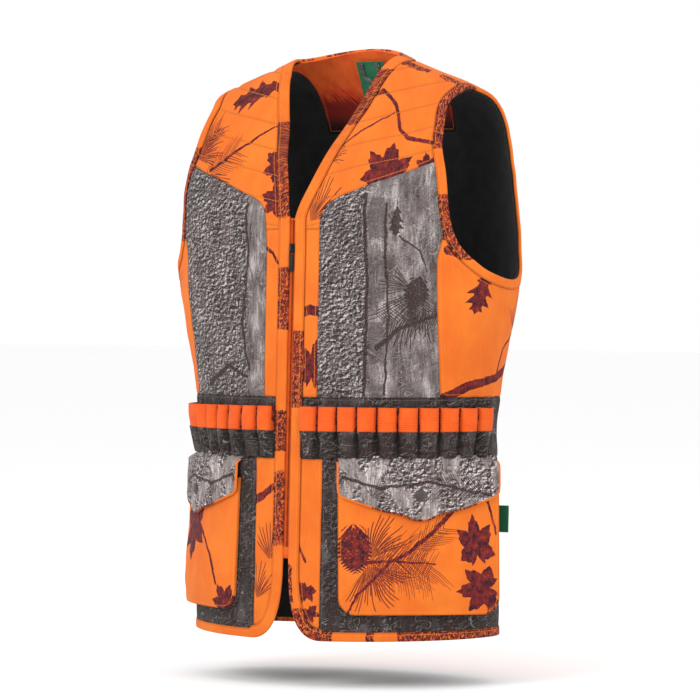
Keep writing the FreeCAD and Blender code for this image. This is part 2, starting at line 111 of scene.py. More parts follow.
def arc(t, angle):
    """How far round the cloth a point lies from the centre front."""
    u = np.clip(t, 0, TOP) / TOP * (len(ARC_LEVELS) - 1)
    v = np.clip((angle + math.pi / 2) / math.pi, 0, 1) * (len(ARC_ANGLES) - 1)
    i = np.minimum(u.astype(int), len(ARC_LEVELS) - 2)
    j = np.minimum(v.astype(int), len(ARC_ANGLES) - 2)
    f, g = u - i, v - j
    low = ARCS[i, j] * (1 - g) + ARCS[i, j + 1] * g
    high = ARCS[i + 1, j] * (1 - g) + ARCS[i + 1, j + 1] * g
    return low * (1 - f) + high * f


def bumps(x, y, wave, seed):
    """Smooth uneven hills between about -1 and 1, wave millimetres across."""
    total = 0
    for k in range(5):
        turn = 2.4 * k + seed
        along = (x * math.cos(turn) + y * math.sin(turn)) * 2 * math.pi / wave
        total = total + np.sin(along * (1 + 0.31 * k) + 1.9 * k + 3 * seed)
    return total / 3


def gathers(s, z, line, reach, above):
    """Puckers that run away from a gathered seam on one side of it and fade out."""
    gap = np.maximum((z - line) if above else (line - z), 0)
    return np.sin(2 * math.pi * s / GATHER_WAVE + 1.2 * np.sin(s / 41)) * np.exp(-gap / reach)


def folded(t, angle):
    """(arc from the centre front, arc from the centre back, side) on whichever side the angle lies."""
    side = np.where(angle > math.pi / 2, -1, 1)
    inside = np.where(angle > math.pi / 2, math.pi - angle, angle)
    reach = arc(t, inside)
    return reach, arc(t, np.full_like(inside, math.pi / 2)) - reach, side


def drape(s, back, z, side):
    """How far the worn cloth stands off the torso's even skin."""
    free = np.clip((s - 16) / 50, 0, 1) * np.clip((z + 745) / 60, 0.25, 1) * np.clip(back / 60, 0, 1)
    soft = 1.5 * bumps(s + 300 * (side < 0), z * 0.55, 150, 1.0)
    soft = soft + 0.55 * bumps(s + 500 * (side < 0), z * 0.8, 58, 2.0)
    belt = (z < WAIST_TOP) & (z > WAIST_BOTTOM)
    pucker = np.where(z >= WAIST_TOP, gathers(s, z, WAIST_TOP, 26, True), 0)
    pucker = pucker + np.where(z <= WAIST_BOTTOM, gathers(s, z, WAIST_BOTTOM, 34, False), 0)
    pucker = pucker + np.where(belt, gathers(s, z, WAIST_TOP, 900, False), 0)
    calm = np.clip((-z - 20) / 60, 0, 1)
    return free * calm * (soft + 1.2 * pucker)


def lay(t, angle, offset, side):
    """Points on the draped cloth at an offset: the left is side 1, the right -1, and the whole back 0."""
    base = torso(t, angle)
    s, back, own = folded(t, angle)
    stand = offset + drape(s, back, base[..., 2], side or own)
    points = base + outward(t, angle) * stand[..., None]
    points[..., 0] *= side or 1
    return points


def flat(t, angle, side):
    """The cloth's own coordinates: s from the centre front, or 700 at the centre back, and height."""
    s, back, own = folded(t, angle)
    return np.stack([s * side if side else 700 + back * own, torso(t, angle)[..., 2]], -1)


def search_level(height_at, z, high=TOP):
    """The level at which each height is reached, by halving."""
    low, high = np.zeros_like(z), np.full_like(z, float(high))
    for _ in range(32):
        middle = (low + high) / 2
        over = height_at(middle) > z
        high = np.where(over, middle, high)
        low = np.where(over, low, middle)
    return (low + high) / 2


def from_front(x, z):
    """(level, angle) of the torso's points seen from the front at x, z."""
    def parts(t):
        z_front, z_side, _, a, b, _, n = np.moveaxis(level(t), -1, 0)
        depth = np.clip(1 - np.abs(x / a) ** n, 0, 1) ** (1 / n)
        return z_side + (z_front - z_side) * depth**2 + 200 * np.maximum(x / a - 1, 0), b * depth

    t = search_level(lambda middle: parts(middle)[0], z)
    return t, np.arctan2(-parts(t)[1], x)


def from_side(y, z):
    """(level, angle) of the torso's points seen from the left at y, z, below the shoulder's top."""
    def parts(t):
        z_front, z_side, z_back, a, b_front, b_back, n = np.moveaxis(level(t), -1, 0)
        b, z_end = np.where(y < 0, b_front, b_back), np.where(y < 0, z_front, z_back)
        share = np.clip(np.abs(y / b), 0, 1)
        return z_side + (z_end - z_side) * share**2, a * (1 - share**n) ** (1 / n)

    t = search_level(lambda middle: parts(middle)[0], z, high=10.8)
    return t, np.arctan2(y, parts(t)[1])


# ---------------------------------------------------------------- outlines
def spline(points, count, closed=False):
    """Evenly spaced points on a Catmull-Rom curve through the given ones."""
    p = np.array(points, float)
    ends = (p[-1:], p[:2]) if closed else (2 * p[:1] - p[1:2], 2 * p[-1:] - p[-2:-1])
    q = np.concatenate([ends[0], p, ends[1]])
    fine = []
    for k in range(len(q) - 3):
        f = np.linspace(0, 1, 24, endpoint=False)[:, None]
        a, b, c, d = q[k : k + 4]
        fine.append(
            0.5 * (2 * b + (c - a) * f + (2 * a - 5 * b + 4 * c - d) * f**2
                   + (3 * b - a - 3 * c + d) * f**3)
        )
    fine = np.concatenate(fine + [q[-2:-1]])
    return even(fine, count, closed)


def even(line, count, closed=False):
    """The same line with evenly spaced points; a closed one doesn't repeat its first."""
    reach = np.concatenate([[0], np.cumsum(np.linalg.norm(np.diff(line, axis=0), axis=1))])
    at = np.linspace(0, reach[-1], count + 1 if closed else count)
    out = np.stack([np.interp(at, reach, line[:, k]) for k in range(line.shape[1])], -1)
    return out[:-1] if closed else out


def bezier(a, b, c, d, count):
    f = np.linspace(0, 1, count)[:, None]
    return (1 - f) ** 3 * a + 3 * (1 - f) ** 2 * f * b + 3 * (1 - f) * f**2 * c + f**3 * d


def line_distance(points, line):
    """Signed distance from a polyline: positive on its left as it is walked."""
    best = np.full(len(points), 1e9)
    sign = np.ones(len(points))
    for a, b in zip(line, line[1:]):
        along = b - a
        length = float(along @ along)
        f = np.clip((points - a) @ along / length, 0, 1)
        gap = points - a - f[:, None] * along
        d = np.hypot(gap[:, 0], gap[:, 1])
        turn = along[0] * (points[:, 1] - a[1]) - along[1] * (points[:, 0] - a[0])
        closer = d < best - 1e-9
        sign = np.where(closer, np.where(turn >= 0, 1, -1), sign)
        best = np.minimum(best, d)
    return best * sign


V_LINE = spline([(EDGE_GAP, -206), (14, -172), (37, -106), (60, -45), (77, 12)], 70)
CORNER_PULLS = ((EDGE_GAP, -641), (EDGE_GAP, -699), (14, -741), (54, -741))
CORNER = bezier(*(np.array(p, float) for p in CORNER_PULLS), 24)
FRONT_EDGE = np.concatenate([V_LINE[::-1], CORNER, [(400, -741)]])
ARMHOLE = spline([
    (-6, -43), (-44, -62), (-70, -106), (-80, -152), (-82, -200), (-73, -242), (-49, -270),
    (-18, -283), (16, -285), (46, -271), (63, -236), (67, -190), (63, -130), (50, -82), (26, -53),
], 168, closed=True)
CHEST_SEAM = np.concatenate([
    [(CHEST_FRONT, -500)],
    spline([(CHEST_FRONT, -236), (41.5, -208), (48, -193), (61, -183), (82, -175), (110, -164),
            (148, -151), (190, -135), (260, -104)], 60),
])
SIDE_SEAM = np.array([(199, 20), (199, -225), (191, -262), (185, -434), (185, -500)], float)


# ---------------------------------------------------------------- where each panel ends
# A keeper takes points on the left side with their levels, and is positive inside the panel. FAR
# stands for a limit that isn't near.
FAR = 400.0


def inside_front_edge(p, t):
    d = line_distance(p[:, [0, 2]], FRONT_EDGE)
    return np.where(p[:, 1] < 0, d, FAR)


def past_binding(p, t):
    return inside_front_edge(p, t) - BINDING


def outside_armhole(p, t):
    closed = np.concatenate([ARMHOLE, ARMHOLE[:1]])
    d = -line_distance(p[:, [1, 2]], closed)
    return np.where(p[:, 0] > 120, d, FAR)


def armhole_rim():
    """The armhole's edge on the left of the torso, as points in space."""
    t, angle = from_side(ARMHOLE[:, 0], ARMHOLE[:, 1])
    return torso(t, angle)


def past_armhole_binding(p, t):
    rim = armhole_rim()
    best = np.full(len(p), 1e9)
    for a, b in zip(rim, np.roll(rim, -1, axis=0)):
        f = np.clip((p - a) @ (b - a) / ((b - a) @ (b - a)), 0, 1)
        best = np.minimum(best, np.linalg.norm(p - a - f[:, None] * (b - a), axis=1))
    return np.where(outside_armhole(p, t) > 0, best, -best) - ARMHOLE_BINDING


def below_chest_seam(p, t):
    return np.where(p[:, 1] < 0, -line_distance(p[:, [0, 2]], CHEST_SEAM), FAR)


def above_chest_seam(p, t):
    return np.where(p[:, 1] < 0, line_distance(p[:, [0, 2]], CHEST_SEAM), -FAR)


def inside_side_seam(p, t):
    return np.where(p[:, 1] < 0, -line_distance(p[:, [0, 2]], SIDE_SEAM), -FAR)


def outside_side_seam(p, t):
    return np.where(p[:, 1] < 0, line_distance(p[:, [0, 2]], SIDE_SEAM), p[:, 0] - BACK_SIDE)


def side_panel_top(p, t):
    return np.where(p[:, 1] < 0, -line_distance(p[:, [0, 2]], CHEST_SEAM), BACK_YOKE - p[:, 2])


def above(z):
    return lambda p, t: p[:, 2] - z


def below(z):
    return lambda p, t: z - p[:, 2]


def within(x):
    return lambda p, t: x - p[:, 0]


def beyond_lower_band(p, t):
    return np.where(p[:, 1] < 0, p[:, 0] - LOWER_FRONT, p[:, 0] - BACK_SIDE)


def ahead_of_back(p, t):
    return np.where(p[:, 1] < 0, FAR, p[:, 0] - BACK_SIDE)


def above_hem(p, t):
    return t * HEM_LEVEL - HEM_BINDING


def in_front(p, t):
    return -p[:, 1]


def behind(p, t):
    return p[:, 1]


def past_neck_binding(p, t):
    return (np.hypot(p[:, 0] / (NECK_HALF + BINDING), p[:, 1] / (NECK_BACK + BINDING)) - 1) * NECK_HALF


# ---------------------------------------------------------------- meshes
def levels_between(low, high, step):
    """Levels about step millimetres apart, along the side or the front, whichever is longer."""
    t = np.linspace(low, high, 400)
    move = np.maximum(
        np.linalg.norm(np.diff(torso(t, np.full_like(t, -1.2)), axis=0), axis=1),
        np.linalg.norm(np.diff(torso(t, np.full_like(t, 0.0)), axis=0), axis=1),
    )
    reach = np.concatenate([[0], np.cumsum(move)])
    return np.interp(np.linspace(0, reach[-1], int(reach[-1] / step) + 2), reach, t)


def grid_faces(rows, columns, wrap=False):
    faces = []
    for i in range(rows - 1):
        for j in range(columns if wrap else columns - 1):
            k = (j + 1) % columns
            faces.append([i * columns + j, i * columns + k, (i + 1) * columns + k, (i + 1) * columns + j])
    return faces


def tube_faces(rows, columns):
    """A tube's faces with both of its ends closed."""
    last = (rows - 1) * columns
    ends = [list(range(columns - 1, -1, -1)), list(range(last, last + columns))]
    return grid_faces(rows, columns, wrap=True) + ends


def clip(params, faces, value):
    """Cuts the faces back to where value, one number for each vertex, is positive."""
    value = np.where(np.abs(value) < 0.12, 0.0, value)
    extra, made = [], {}

    def crossing(a, b):
        if value[a] == 0:
            return a
        if value[b] == 0:
            return b
        key = (min(a, b), max(a, b))
        if key not in made:
            w = value[a] / (value[a] - value[b])
            made[key] = len(params) + len(extra)
            extra.append(params[a] + w * (params[b] - params[a]))
        return made[key]

    kept = []
    for face in faces:
        good = [value[v] >= 0 for v in face]
        if all(good):
            if any(value[v] > 0 for v in face):
                kept.append(face)
            continue
        if not any(value[v] > 0 for v in face):
            continue
        loop = []
        for k, v in enumerate(face):
            n = (k + 1) % len(face)
            if good[k]:
                loop.append(v)
            if good[k] != good[n]:
                loop.append(crossing(v, face[n]))
        loop = [v for k, v in enumerate(loop) if v != loop[k - 1]]
        if len(loop) > 2:
            kept.append(loop)
    everything = np.concatenate([params, np.array(extra)]) if extra else params
    used = sorted({v for face in kept for v in face})
    place = {v: k for k, v in enumerate(used)}
    return everything[used], [[place[v] for v in face] for face in kept]


def boundary(faces):
    """The directed edges that belong to one face only."""
    edges = {(a, b) for face in faces for a, b in zip(face, face[1:] + face[:1])}
    return sorted((a, b) for a, b in edges if (b, a) not in edges)


def thickened(outer, inner, faces):
    """A closed solid between two copies of the same faces."""
    n = len(outer)
    solid = [list(face) for face in faces] + [[v + n for v in reversed(face)] for face in faces]
    solid += [[b, a, a + n, b + n] for a, b in boundary(faces)]
    return np.concatenate([outer, inner]), solid


def make(name, points, faces, material, cloth=None, edge=50.0, ink=0.0, sharp=50):
    """A smooth-shaded object from points in millimetres.

    cloth is each point's place on the flat cloth; edge its distance from the nearest seam, which also sets
    the painted shade that sewn() lays along the seam; and ink how much of the print's red bark it has, which
    in the cartridge loops' gaps is red painted shade."""
    mesh = bpy.data.meshes.new(name)
    mesh.from_pydata((np.asarray(points) * MM).tolist(), [], faces)
    mesh.update()
    if cloth is None:
        cloth = points
    place = np.zeros((len(points), 3))
    place[:, : np.shape(cloth)[1]] = cloth
    mesh.attributes.new("cloth", "FLOAT_VECTOR", "POINT").data.foreach_set("vector", place.ravel())
    for key, values in (("edge", edge), ("ink", ink)):
        values = np.broadcast_to(np.asarray(values, float), (len(points),))
        mesh.attributes.new(key, "FLOAT", "POINT").data.foreach_set("value", values.copy())
    mesh.shade_smooth()
    mesh.set_sharp_from_angle(angle=math.radians(sharp))
    mesh.materials.append(material)
    piece = bpy.data.objects.new(name + "_cloth", mesh)
    bpy.context.collection.objects.link(piece)
    return piece


def flipped(faces, side):
    return [list(reversed(face)) for face in faces] if side < 0 else faces


def solid_cloth(name, outer, inner, faces, side, material, place, edge, ink=None):
    """A closed cloth between two surfaces that share their faces and their attributes."""
    points, solid = thickened(outer, inner, faces)
    red = 0.0 if ink is None else np.tile(ink, 2)
    return make(name, points, flipped(solid, side), material, np.tile(place, (2, 1)), np.tile(edge, 2), red)


def worn(piece, *nodes, body="vest_body"):
    """The piece rides on a body and stands for the CAD nodes."""
    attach(piece, body)
    if nodes:
        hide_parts(*nodes)
    return piece


CUT = {}


def measure(name, piece, place, count):
    """Keeps a cloth's flat width, length and area, from its outer faces."""
    area = sum(face.area for face in piece.data.polygons[:count])
    width = float(np.ptp(place[:, 0])) * MM
    length = max(float(np.ptp(place[:, 1])) * MM, area / width * 1.01)
    CUT[name] = (piece, (round(width, 4), round(length, 4)), area)


def panel(name, side, keepers, t_range, angles, material, offset=0.0, thickness=CLOTH, relief=None,
          ink=None, step=4.0, seam=1.1):
    """A panel of the shell or lining as a closed solid that follows the drape."""
    levels = levels_between(*t_range, step)
    count = int(float(np.max(ARCS[:, -1])) * (angles[1] - angles[0]) / 180 / step) + 2
    t, a = np.meshgrid(levels, np.radians(np.linspace(*angles, count)), indexing="ij")
    params = np.stack([t.ravel(), a.ravel()], -1)
    faces = grid_faces(len(levels), count)

    def left_half(q):
        base = torso(q[:, 0], q[:, 1])
        base[:, 0] = np.abs(base[:, 0])
        return base

    for keeper in keepers:
        params, faces = clip(params, faces, keeper(left_half(params), params[:, 0]))
    t, a, base = params[:, 0], params[:, 1], left_half(params)
    inside = np.min([keeper(base, t) for keeper in keepers], axis=0)
    dip = -seam * np.exp(-((inside / 2.6) ** 2))
    lift = relief(base, inside) if relief else 0.0
    outer = lay(t, a, offset + dip + lift, side)
    inner = lay(t, a, offset + dip * 0.4 - thickness + np.minimum(lift, 0) * 0.4, side)
    place = np.concatenate([flat(t, a, side), quilt_height(base)[:, None]], -1)
    red = ink(base, place, side) if ink else None
    # The distance inside the seams is the edge attribute: sewn() paints shade along the seams and stitches
    # beside them.
    piece = solid_cloth(name, outer, inner, faces, side, material, place, np.maximum(inside, 0), red)
    measure(name, piece, place, len(faces))
    return worn(piece, name)


def quilt_height(base):
    return base[:, 2] - QUILT_SLOPE * base[:, 0]


def quilted(base, inside):
    """Wadding sewn down along slanting lines."""
    gap = np.abs(((quilt_height(base) - QUILT_START) / QUILT_PITCH + 50.5) % 1 - 0.5) * QUILT_PITCH
    puff = 1.0 * np.clip(gap / 12, 0, 1) ** 0.6 - 1.3 * np.exp(-((gap / 2.4) ** 2))
    return puff * np.clip(inside / 7, 0, 1)


def binding(name, t, angle, side, ink, wrap=False):
    """A binding laid along the cloth: rows of (level, angle) across it."""
    rows, columns = t.shape
    points = lay(t.ravel(), angle.ravel(), np.tile(PROUD, rows), side)
    place = flat(t.ravel(), angle.ravel(), side)
    if wrap:
        faces = [[v % (rows * columns) for v in face] for face in grid_faces(rows + 1, columns, wrap=True)]
    else:
        faces = tube_faces(rows, columns)
    piece = make(name, points, flipped(faces, -side if side else 1), BOUND, place,
                 np.tile(STRIP_EDGE, rows), ink(points, place, side))
    return worn(piece, name)


# ---------------------------------------------------------------- node materials
class Val:
    """A number in a node tree that can be used in sums."""

    def __init__(self, tree, socket):
        self.tree, self.socket = tree, socket

    def math(self, operation, *others, clamp=False):
        node = self.tree.nodes.new("ShaderNodeMath")
        node.operation, node.use_clamp = operation, clamp
        for slot, value in zip(node.inputs, (self, *others)):
            plug(self.tree, slot, value)
        return Val(self.tree, node.outputs[0])

    def __add__(self, other):
        return self.math("ADD", other)

    __radd__ = __add__

    def __sub__(self, other):
        return self.math("SUBTRACT", other)

    def __rsub__(self, other):
        return self.math("MULTIPLY_ADD", -1.0, other)

    def __mul__(self, other):
        return self.math("MULTIPLY", other)

    __rmul__ = __mul__

    def __truediv__(self, other):
        return self.math("DIVIDE", other)

    def abs(self):
        return self.math("ABSOLUTE")

    def sin(self):
        return self.math("SINE")

    def fract(self):
        return self.math("FRACT")

    def floor(self):
        return self.math("FLOOR")

    def clamp(self):
        return self.math("ADD", 0.0, clamp=True)

    def least(self, other):
        return self.math("MINIMUM", other)

    def most(self, other):
        return self.math("MAXIMUM", other)

    def ramp(self, low, high):
        """0 at low and 1 at high, smoothly between; low may be the larger."""
        node = self.tree.nodes.new("ShaderNodeMapRange")
        node.interpolation_type = "SMOOTHSTEP"
        if low > high:
            low, high, ends = high, low, (1.0, 0.0)
        else:
            ends = (0.0, 1.0)
        plug(self.tree, node.inputs[0], self)
        for slot, value in zip(node.inputs[1:5], (low, high, *ends)):
            slot.default_value = value
        return Val(self.tree, node.outputs[0])


def plug(tree, slot, value):
    if isinstance(value, Val):
        tree.links.new(value.socket, slot)
    elif isinstance(value, bpy.types.NodeSocket):
        tree.links.new(value, slot)
    elif hasattr(value, "__len__") and len(value) < len(slot.default_value):
        slot.default_value = (*value, 1.0)
    else:
        slot.default_value = value


class Shade:
    """One material: its nodes, and the cloth's own coordinates in millimetres."""

    def __init__(self, name):
        self.material = bpy.data.materials.new(name)
        self.material.use_nodes = True
        self.tree = self.material.node_tree
        self.tree.nodes.clear()
        self.cloth = self.attribute("cloth").outputs["Vector"]
        split = self.node("ShaderNodeSeparateXYZ", {0: self.cloth})
        self.s, self.z, self.w = (Val(self.tree, socket) for socket in split.outputs)
        self.edge = Val(self.tree, self.attribute("edge").outputs["Fac"])
        self.ink = Val(self.tree, self.attribute("ink").outputs["Fac"])

    def attribute(self, name):
        node = self.tree.nodes.new("ShaderNodeAttribute")
        node.attribute_name = name
        return node

    def node(self, kind, inputs=None, **settings):
        node = self.tree.nodes.new(kind)
        for key, value in settings.items():
            setattr(node, key, value)
        for key, value in (inputs or {}).items():
            plug(self.tree, node.inputs[key], value)
        return node

    def at(self, x, y, z=0.0):
        return self.node("ShaderNodeCombineXYZ", {0: x, 1: y, 2: z}).outputs[0]

    def noise(self, x, y, detail=2.0, rough=0.5, warp=0.0, seed=0.0):
        node = self.node(
            "ShaderNodeTexNoise",
            {"Vector": self.at(x, y, seed), "Scale": 1.0, "Detail": detail, "Roughness": rough,
             "Distortion": warp},
        )
        return Val(self.tree, node.outputs[0])

    def mix(self, share, a, b):
        node = self.node("ShaderNodeMix", data_type="RGBA")
        for k, value in ((0, share), (6, a), (7, b)):
            plug(self.tree, node.inputs[k], value)
        return node.outputs[2]

    def scale(self, colour, value):
        node = self.node("ShaderNodeMix", data_type="RGBA", blend_type="MULTIPLY")
        node.inputs[0].default_value = 1.0
        grey = self.node("ShaderNodeCombineColor", {0: value, 1: value, 2: value}).outputs[0]
        plug(self.tree, node.inputs[6], colour)
        plug(self.tree, node.inputs[7], grey)
        return node.outputs[2]

    def finish(self, colour, height=None, depth=0.4, roughness=0.8, sheen=0.25, metallic=0.0, coat=0.0):
        """The surface: height is in millimetres at depth 1."""
        shader = self.node(
            "ShaderNodeBsdfPrincipled",
            {"Base Color": colour, "Roughness": roughness, "Metallic": metallic,
             "Sheen Weight": sheen, "Sheen Roughness": 0.5, "Coat Weight": coat,
             "Specular IOR Level": 0.5 if metallic or coat else 0.18},
        )
        if height is not None:
            bump = self.node("ShaderNodeBump", {"Strength": 1.0, "Distance": depth * MM, "Height": height})
            self.tree.links.new(bump.outputs[0], shader.inputs["Normal"])
        output = self.tree.nodes.new("ShaderNodeOutputMaterial")
        self.tree.links.new(shader.outputs[0], output.inputs[0])
        return self.material

    def weave(self, pitch=1.1):
        """A plain weave's height from 0 to 1, uneven like yarn."""
        turn = 2 * math.pi / pitch
        uneven = self.noise(self.s * 0.9, self.z * 0.9, 1.0, seed=4.0) * 1.6
        over = ((self.s * turn + uneven).sin() * (self.z * turn + uneven).sin()) * 0.5 + 0.5
        return over + self.noise(self.s * 0.25, self.z * 0.25, 3.0, 0.6, seed=9.0) * 0.7

    def stitches(self, distance, row, half=0.42, pitch=3.4):
        """Thread laid in short stitches along one distance: 1 on a stitch."""
        along = ((self.s + self.z) * (0.75 / pitch)).fract()
        thread = ((distance - row).abs()).ramp(half + 0.25, half - 0.15)
        return thread * (along - 0.5).abs().ramp(0.46, 0.36)


def wobble(shade, size=9.0, reach=2.2):
    """The cloth's coordinates with a print's uneven edges."""
    x = shade.s + (shade.noise(shade.s / size, shade.z / size, 3.0, 0.6, seed=2.0) - 0.5) * (2 * reach)
    z = shade.z + (shade.noise(shade.s / size, shade.z / size, 3.0, 0.6, seed=6.0) - 0.5) * (2 * reach)
    return x, z


def local(x, z, at, turn):
    """Coordinates about a point, with the first axis turned by degrees from +s towards +z."""
    c, s = math.cos(math.radians(turn)), math.sin(math.radians(turn))
    u, v = x - at[0], z - at[1]
    return u * c + v * s, v * c - u * s


def branch(x, z, points, thick, thin):
    """A tapering twig along a few points: positive inside, in millimetres."""
    best, count = None, len(points) - 1
    for k, (a, b) in enumerate(zip(points, points[1:])):
        dx, dz = b[0] - a[0], b[1] - a[1]
        squared = dx * dx + dz * dz
        u, v = x - a[0], z - a[1]
        along = (u * (dx / squared)).math("MULTIPLY_ADD", 1.0, v * (dz / squared)).clamp()
        p, q = u - along * dx, v - along * dz
        gap = (p * p + q * q).math("SQRT")
        start, end = (thick + (thin - thick) * f / count for f in (k, k + 1))
        inside = along * (end - start) + start - gap
        best = inside if best is None else best.most(inside)
    return best


def needles(shade, at, turn, length, spread=150.0, count=22, half=0.5):
    """A spray of pine needles from about one point, each as straight and as long as it grew."""
    u, v = local(shade.s, shade.z, at, turn)
    reach = (u * u + v * v).math("SQRT")
    angle = v.math("ARCTAN2", u) + (shade.noise(shade.s / 46, shade.z / 46, 0.0, seed=37.0) - 0.5) * 0.3
    place = angle * (count / math.radians(spread)) + 100.5
    own = ((place.floor() * 12.9898).sin() * 4375.85).fract()
    gap = math.radians(spread) / count
    off = (place.fract() - 0.5 + (own - 0.5) * 0.62).abs() * reach * gap
    tips = own * (length * 0.42) + length * 0.58 - reach
    side = math.radians(spread / 2) - angle.abs()
    thick = (reach * (gap * 0.42 / half)).clamp() * half
    return (thick - off - reach * (0.3 * half / length)).least(tips * 0.2).least(side * 20)


def spray(shade, at, turn, length, reach, lean=0.9, pitch=3.4, half=0.55):
    """Pine needles on both sides of a twig from a point on, leaning towards the twig's tip."""
    u, v = local(shade.s, shade.z, at, turn)
    out = v.abs()
    root = u - out * lean + (shade.noise(shade.s / 30, shade.z / 30, 0.0, seed=41.0) - 0.5) * 7.0
    place = root * (1 / pitch) + v.ramp(-0.01, 0.01) * 57.37 + 200.5
    own = ((place.floor() * 12.9898).sin() * 4375.85).fract()
    off = (place.fract() - 0.5 + (own - 0.5) * 0.6).abs() * (pitch / math.hypot(1, lean))
    tips = (own * 0.55 + 0.45) * reach - out
    return (half - out * (0.6 * half / reach) - off).least(tips * 0.25).least(root).least(length - root)


# Outlines as (place, reach): an oak leaf's half width along its rib, and a maple leaf's reach
# round from its tip to its stem.
OAK = [(0, 0.04), (0.07, 0.16), (0.17, 0.56), (0.22, 0.34), (0.29, 0.40), (0.36, 0.66), (0.42, 0.95),
       (0.47, 0.46), (0.53, 0.44), (0.60, 0.66), (0.66, 0.86), (0.71, 0.38), (0.77, 0.34), (0.85, 0.48),
       (0.89, 0.20), (1.0, 0.0)]
MAPLE = [(0, 1.0), (0.04, 0.82), (0.08, 0.82), (0.11, 0.68), (0.15, 0.56), (0.19, 0.70), (0.22, 0.76),
         (0.27, 0.97), (0.31, 0.80), (0.34, 0.80), (0.38, 0.66), (0.43, 0.54), (0.49, 0.66), (0.53, 0.68),
         (0.58, 0.80), (0.64, 0.60), (0.70, 0.52), (0.74, 0.42), (0.81, 0.50), (0.88, 0.28), (1.0, 0.12)]


def profile(value, stops):
    """The height of an outline given by straight lines between stops."""
    node = value.tree.nodes.new("ShaderNodeValToRGB")
    ramp = node.color_ramp
    ramp.elements[0].position, ramp.elements[1].position = stops[0][0], stops[-1][0]
    for place, _ in stops[1:-1]:
        ramp.elements.new(place)
    for element, (_, height) in zip(ramp.elements, stops):
        element.color = (height, height, height, 1)
    plug(value.tree, node.inputs[0], value)
    return Val(value.tree, node.outputs[0])


def oak(x, z, at, turn, length, width):
    """A leaf with pointed lobes that lean towards its tip, on both sides of its rib."""
    u, v = local(x, z, at, turn)
    across = v.abs()
    place = (u - across * 0.45) / length + v * (0.05 / width)
    return (profile(place, OAK) * width - across).least(u + 9).least(length * 1.1 - u)


def maple(x, z, at, turn, size, wide=1.0):
    """A pointed leaf with five lobes and toothed edges, narrower when it is seen folded."""
    u, v = local(x, z, at, turn)
    v = v * (1 / wide)
    reach = (u * u + v * v).math("SQRT")
    angle = v.math("ARCTAN2", u).abs() * (1 / math.pi)
    return profile(angle, MAPLE) * size - reach


def cone(shade, x, z, at, turn, length, width):
    """A pine cone's ragged oval, open in flecks between its scales."""
    u, v = local(x, z, at, turn)
    p, q = u / (length / 2), v / (width / 2)
    far = (p * p + q * q).math("SQRT")
    rag = (((u + v.abs()) / 5.5).fract() - 0.5) * 0.26
    scales = ((u + v.abs()) / 5.5).fract().least(((u - v.abs()) / 5.5).fract())
    flecks = shade.noise(u / 3.4, v / 3.4, 2.0, 0.6, seed=43.0)
    return ((1.0 - far + rag) * (width / 2)).least(scales * 6 + (0.62 - flecks) * 9 - 0.4)


def ink_of(shade, shapes, soft=0.35):
    """Where any of the shapes is printed, from 0 to 1."""
    total = shapes[0]
    for shape in shapes[1:]:
        total = total.most(shape)
    return total.ramp(-soft, soft)


ORANGE, ORANGE_DEEP, ORANGE_LIGHT = (0.735, 0.172, 0.018), (0.665, 0.128, 0.013), (0.80, 0.225, 0.034)
MAROON, MAROON_DARK, RUST = (0.165, 0.014, 0.014), (0.030, 0.006, 0.013), (0.36, 0.045, 0.016)
GREY, GREY_LIGHT, GREY_DARK = (0.185, 0.155, 0.150), (0.62, 0.56, 0.545), (0.022, 0.017, 0.018)
BROWN = (0.100, 0.062, 0.052)


def sewn(shade, colour, thread, quilted=False):
    """Paints shade into a seam's crease and along the quilting's grooves, and lays topstitching beside the
    seam and along the quilting.
    """
    # Painted shade: darker where the edge attribute is small beside a seam, and much darker where it falls
    # below zero, as down the cartridge holder's pleats.
    rim = (shade.edge.ramp(-0.4, 2.0) * 0.42 + 0.58) * (shade.edge.ramp(-5.0, 0.0) * 0.75 + 0.25)
    colour = shade.scale(colour, rim)
    rows = shade.stitches(shade.edge, 3.4)
    if quilted:
        gap = ((((shade.w - QUILT_START) / QUILT_PITCH) + 50.5).fract() - 0.5).abs() * QUILT_PITCH
        # Painted shade along the quilting's sewn-down grooves.
        colour = shade.scale(colour, gap.ramp(0.15, 1.3) * 0.48 + 0.52)
        rows = rows.most(shade.stitches(gap, 0.0, half=0.5))
    return shade.mix(rows * 0.55, colour, thread), rows


def red_tone(shade):
    """The print's red: dark in the bark's shadows and rusty where it is lit."""
    patch = shade.noise(shade.s / 7, shade.z / 10, 4.0, 0.65, seed=11.0)
    tone = shade.mix(patch.ramp(0.36, 0.60), MAROON_DARK, MAROON)
    return shade.mix(patch.ramp(0.57, 0.74) * 0.8, tone, RUST)


def orange_print(name, shapes=None, quilted=False, faint=0.5):
    """Orange camouflage: a soft ground, faint twigs, and the printed shapes in red-brown."""
    shade = Shade(name)
    x, z = wobble(shade)
    cloud = shade.noise(shade.s / 55, shade.z / 70, 3.0, 0.55, seed=1.0)
    ground = shade.mix(cloud.ramp(0.30, 0.72), ORANGE_DEEP, ORANGE)
    grain = shade.noise(shade.s / 5, shade.z / 30, 4.0, 0.7, seed=3.0)
    ground = shade.mix(grain.ramp(0.50, 0.78) * 0.45 * faint, ground, ORANGE_DEEP)
    ground = shade.mix(grain.ramp(0.48, 0.22) * 0.30, ground, ORANGE_LIGHT)
    colour = ground
    if shapes:
        ink = ink_of(shade, shapes(shade, x, z))
        speckle = shade.noise(shade.s / 1.7, shade.z / 2.6, 2.0, 0.6, seed=8.0).ramp(0.22, 0.42)
        ink = ink * (speckle * 0.45 + 0.55)
        colour = shade.mix(ink, ground, red_tone(shade))
    colour = shade.mix(bark_ink(shade), colour, red_tone(shade))
    colour, rows = sewn(shade, colour, ORANGE_LIGHT, quilted)
    return shade.finish(colour, shade.weave() + rows * 1.2, depth=0.16, roughness=0.80, sheen=0.02)


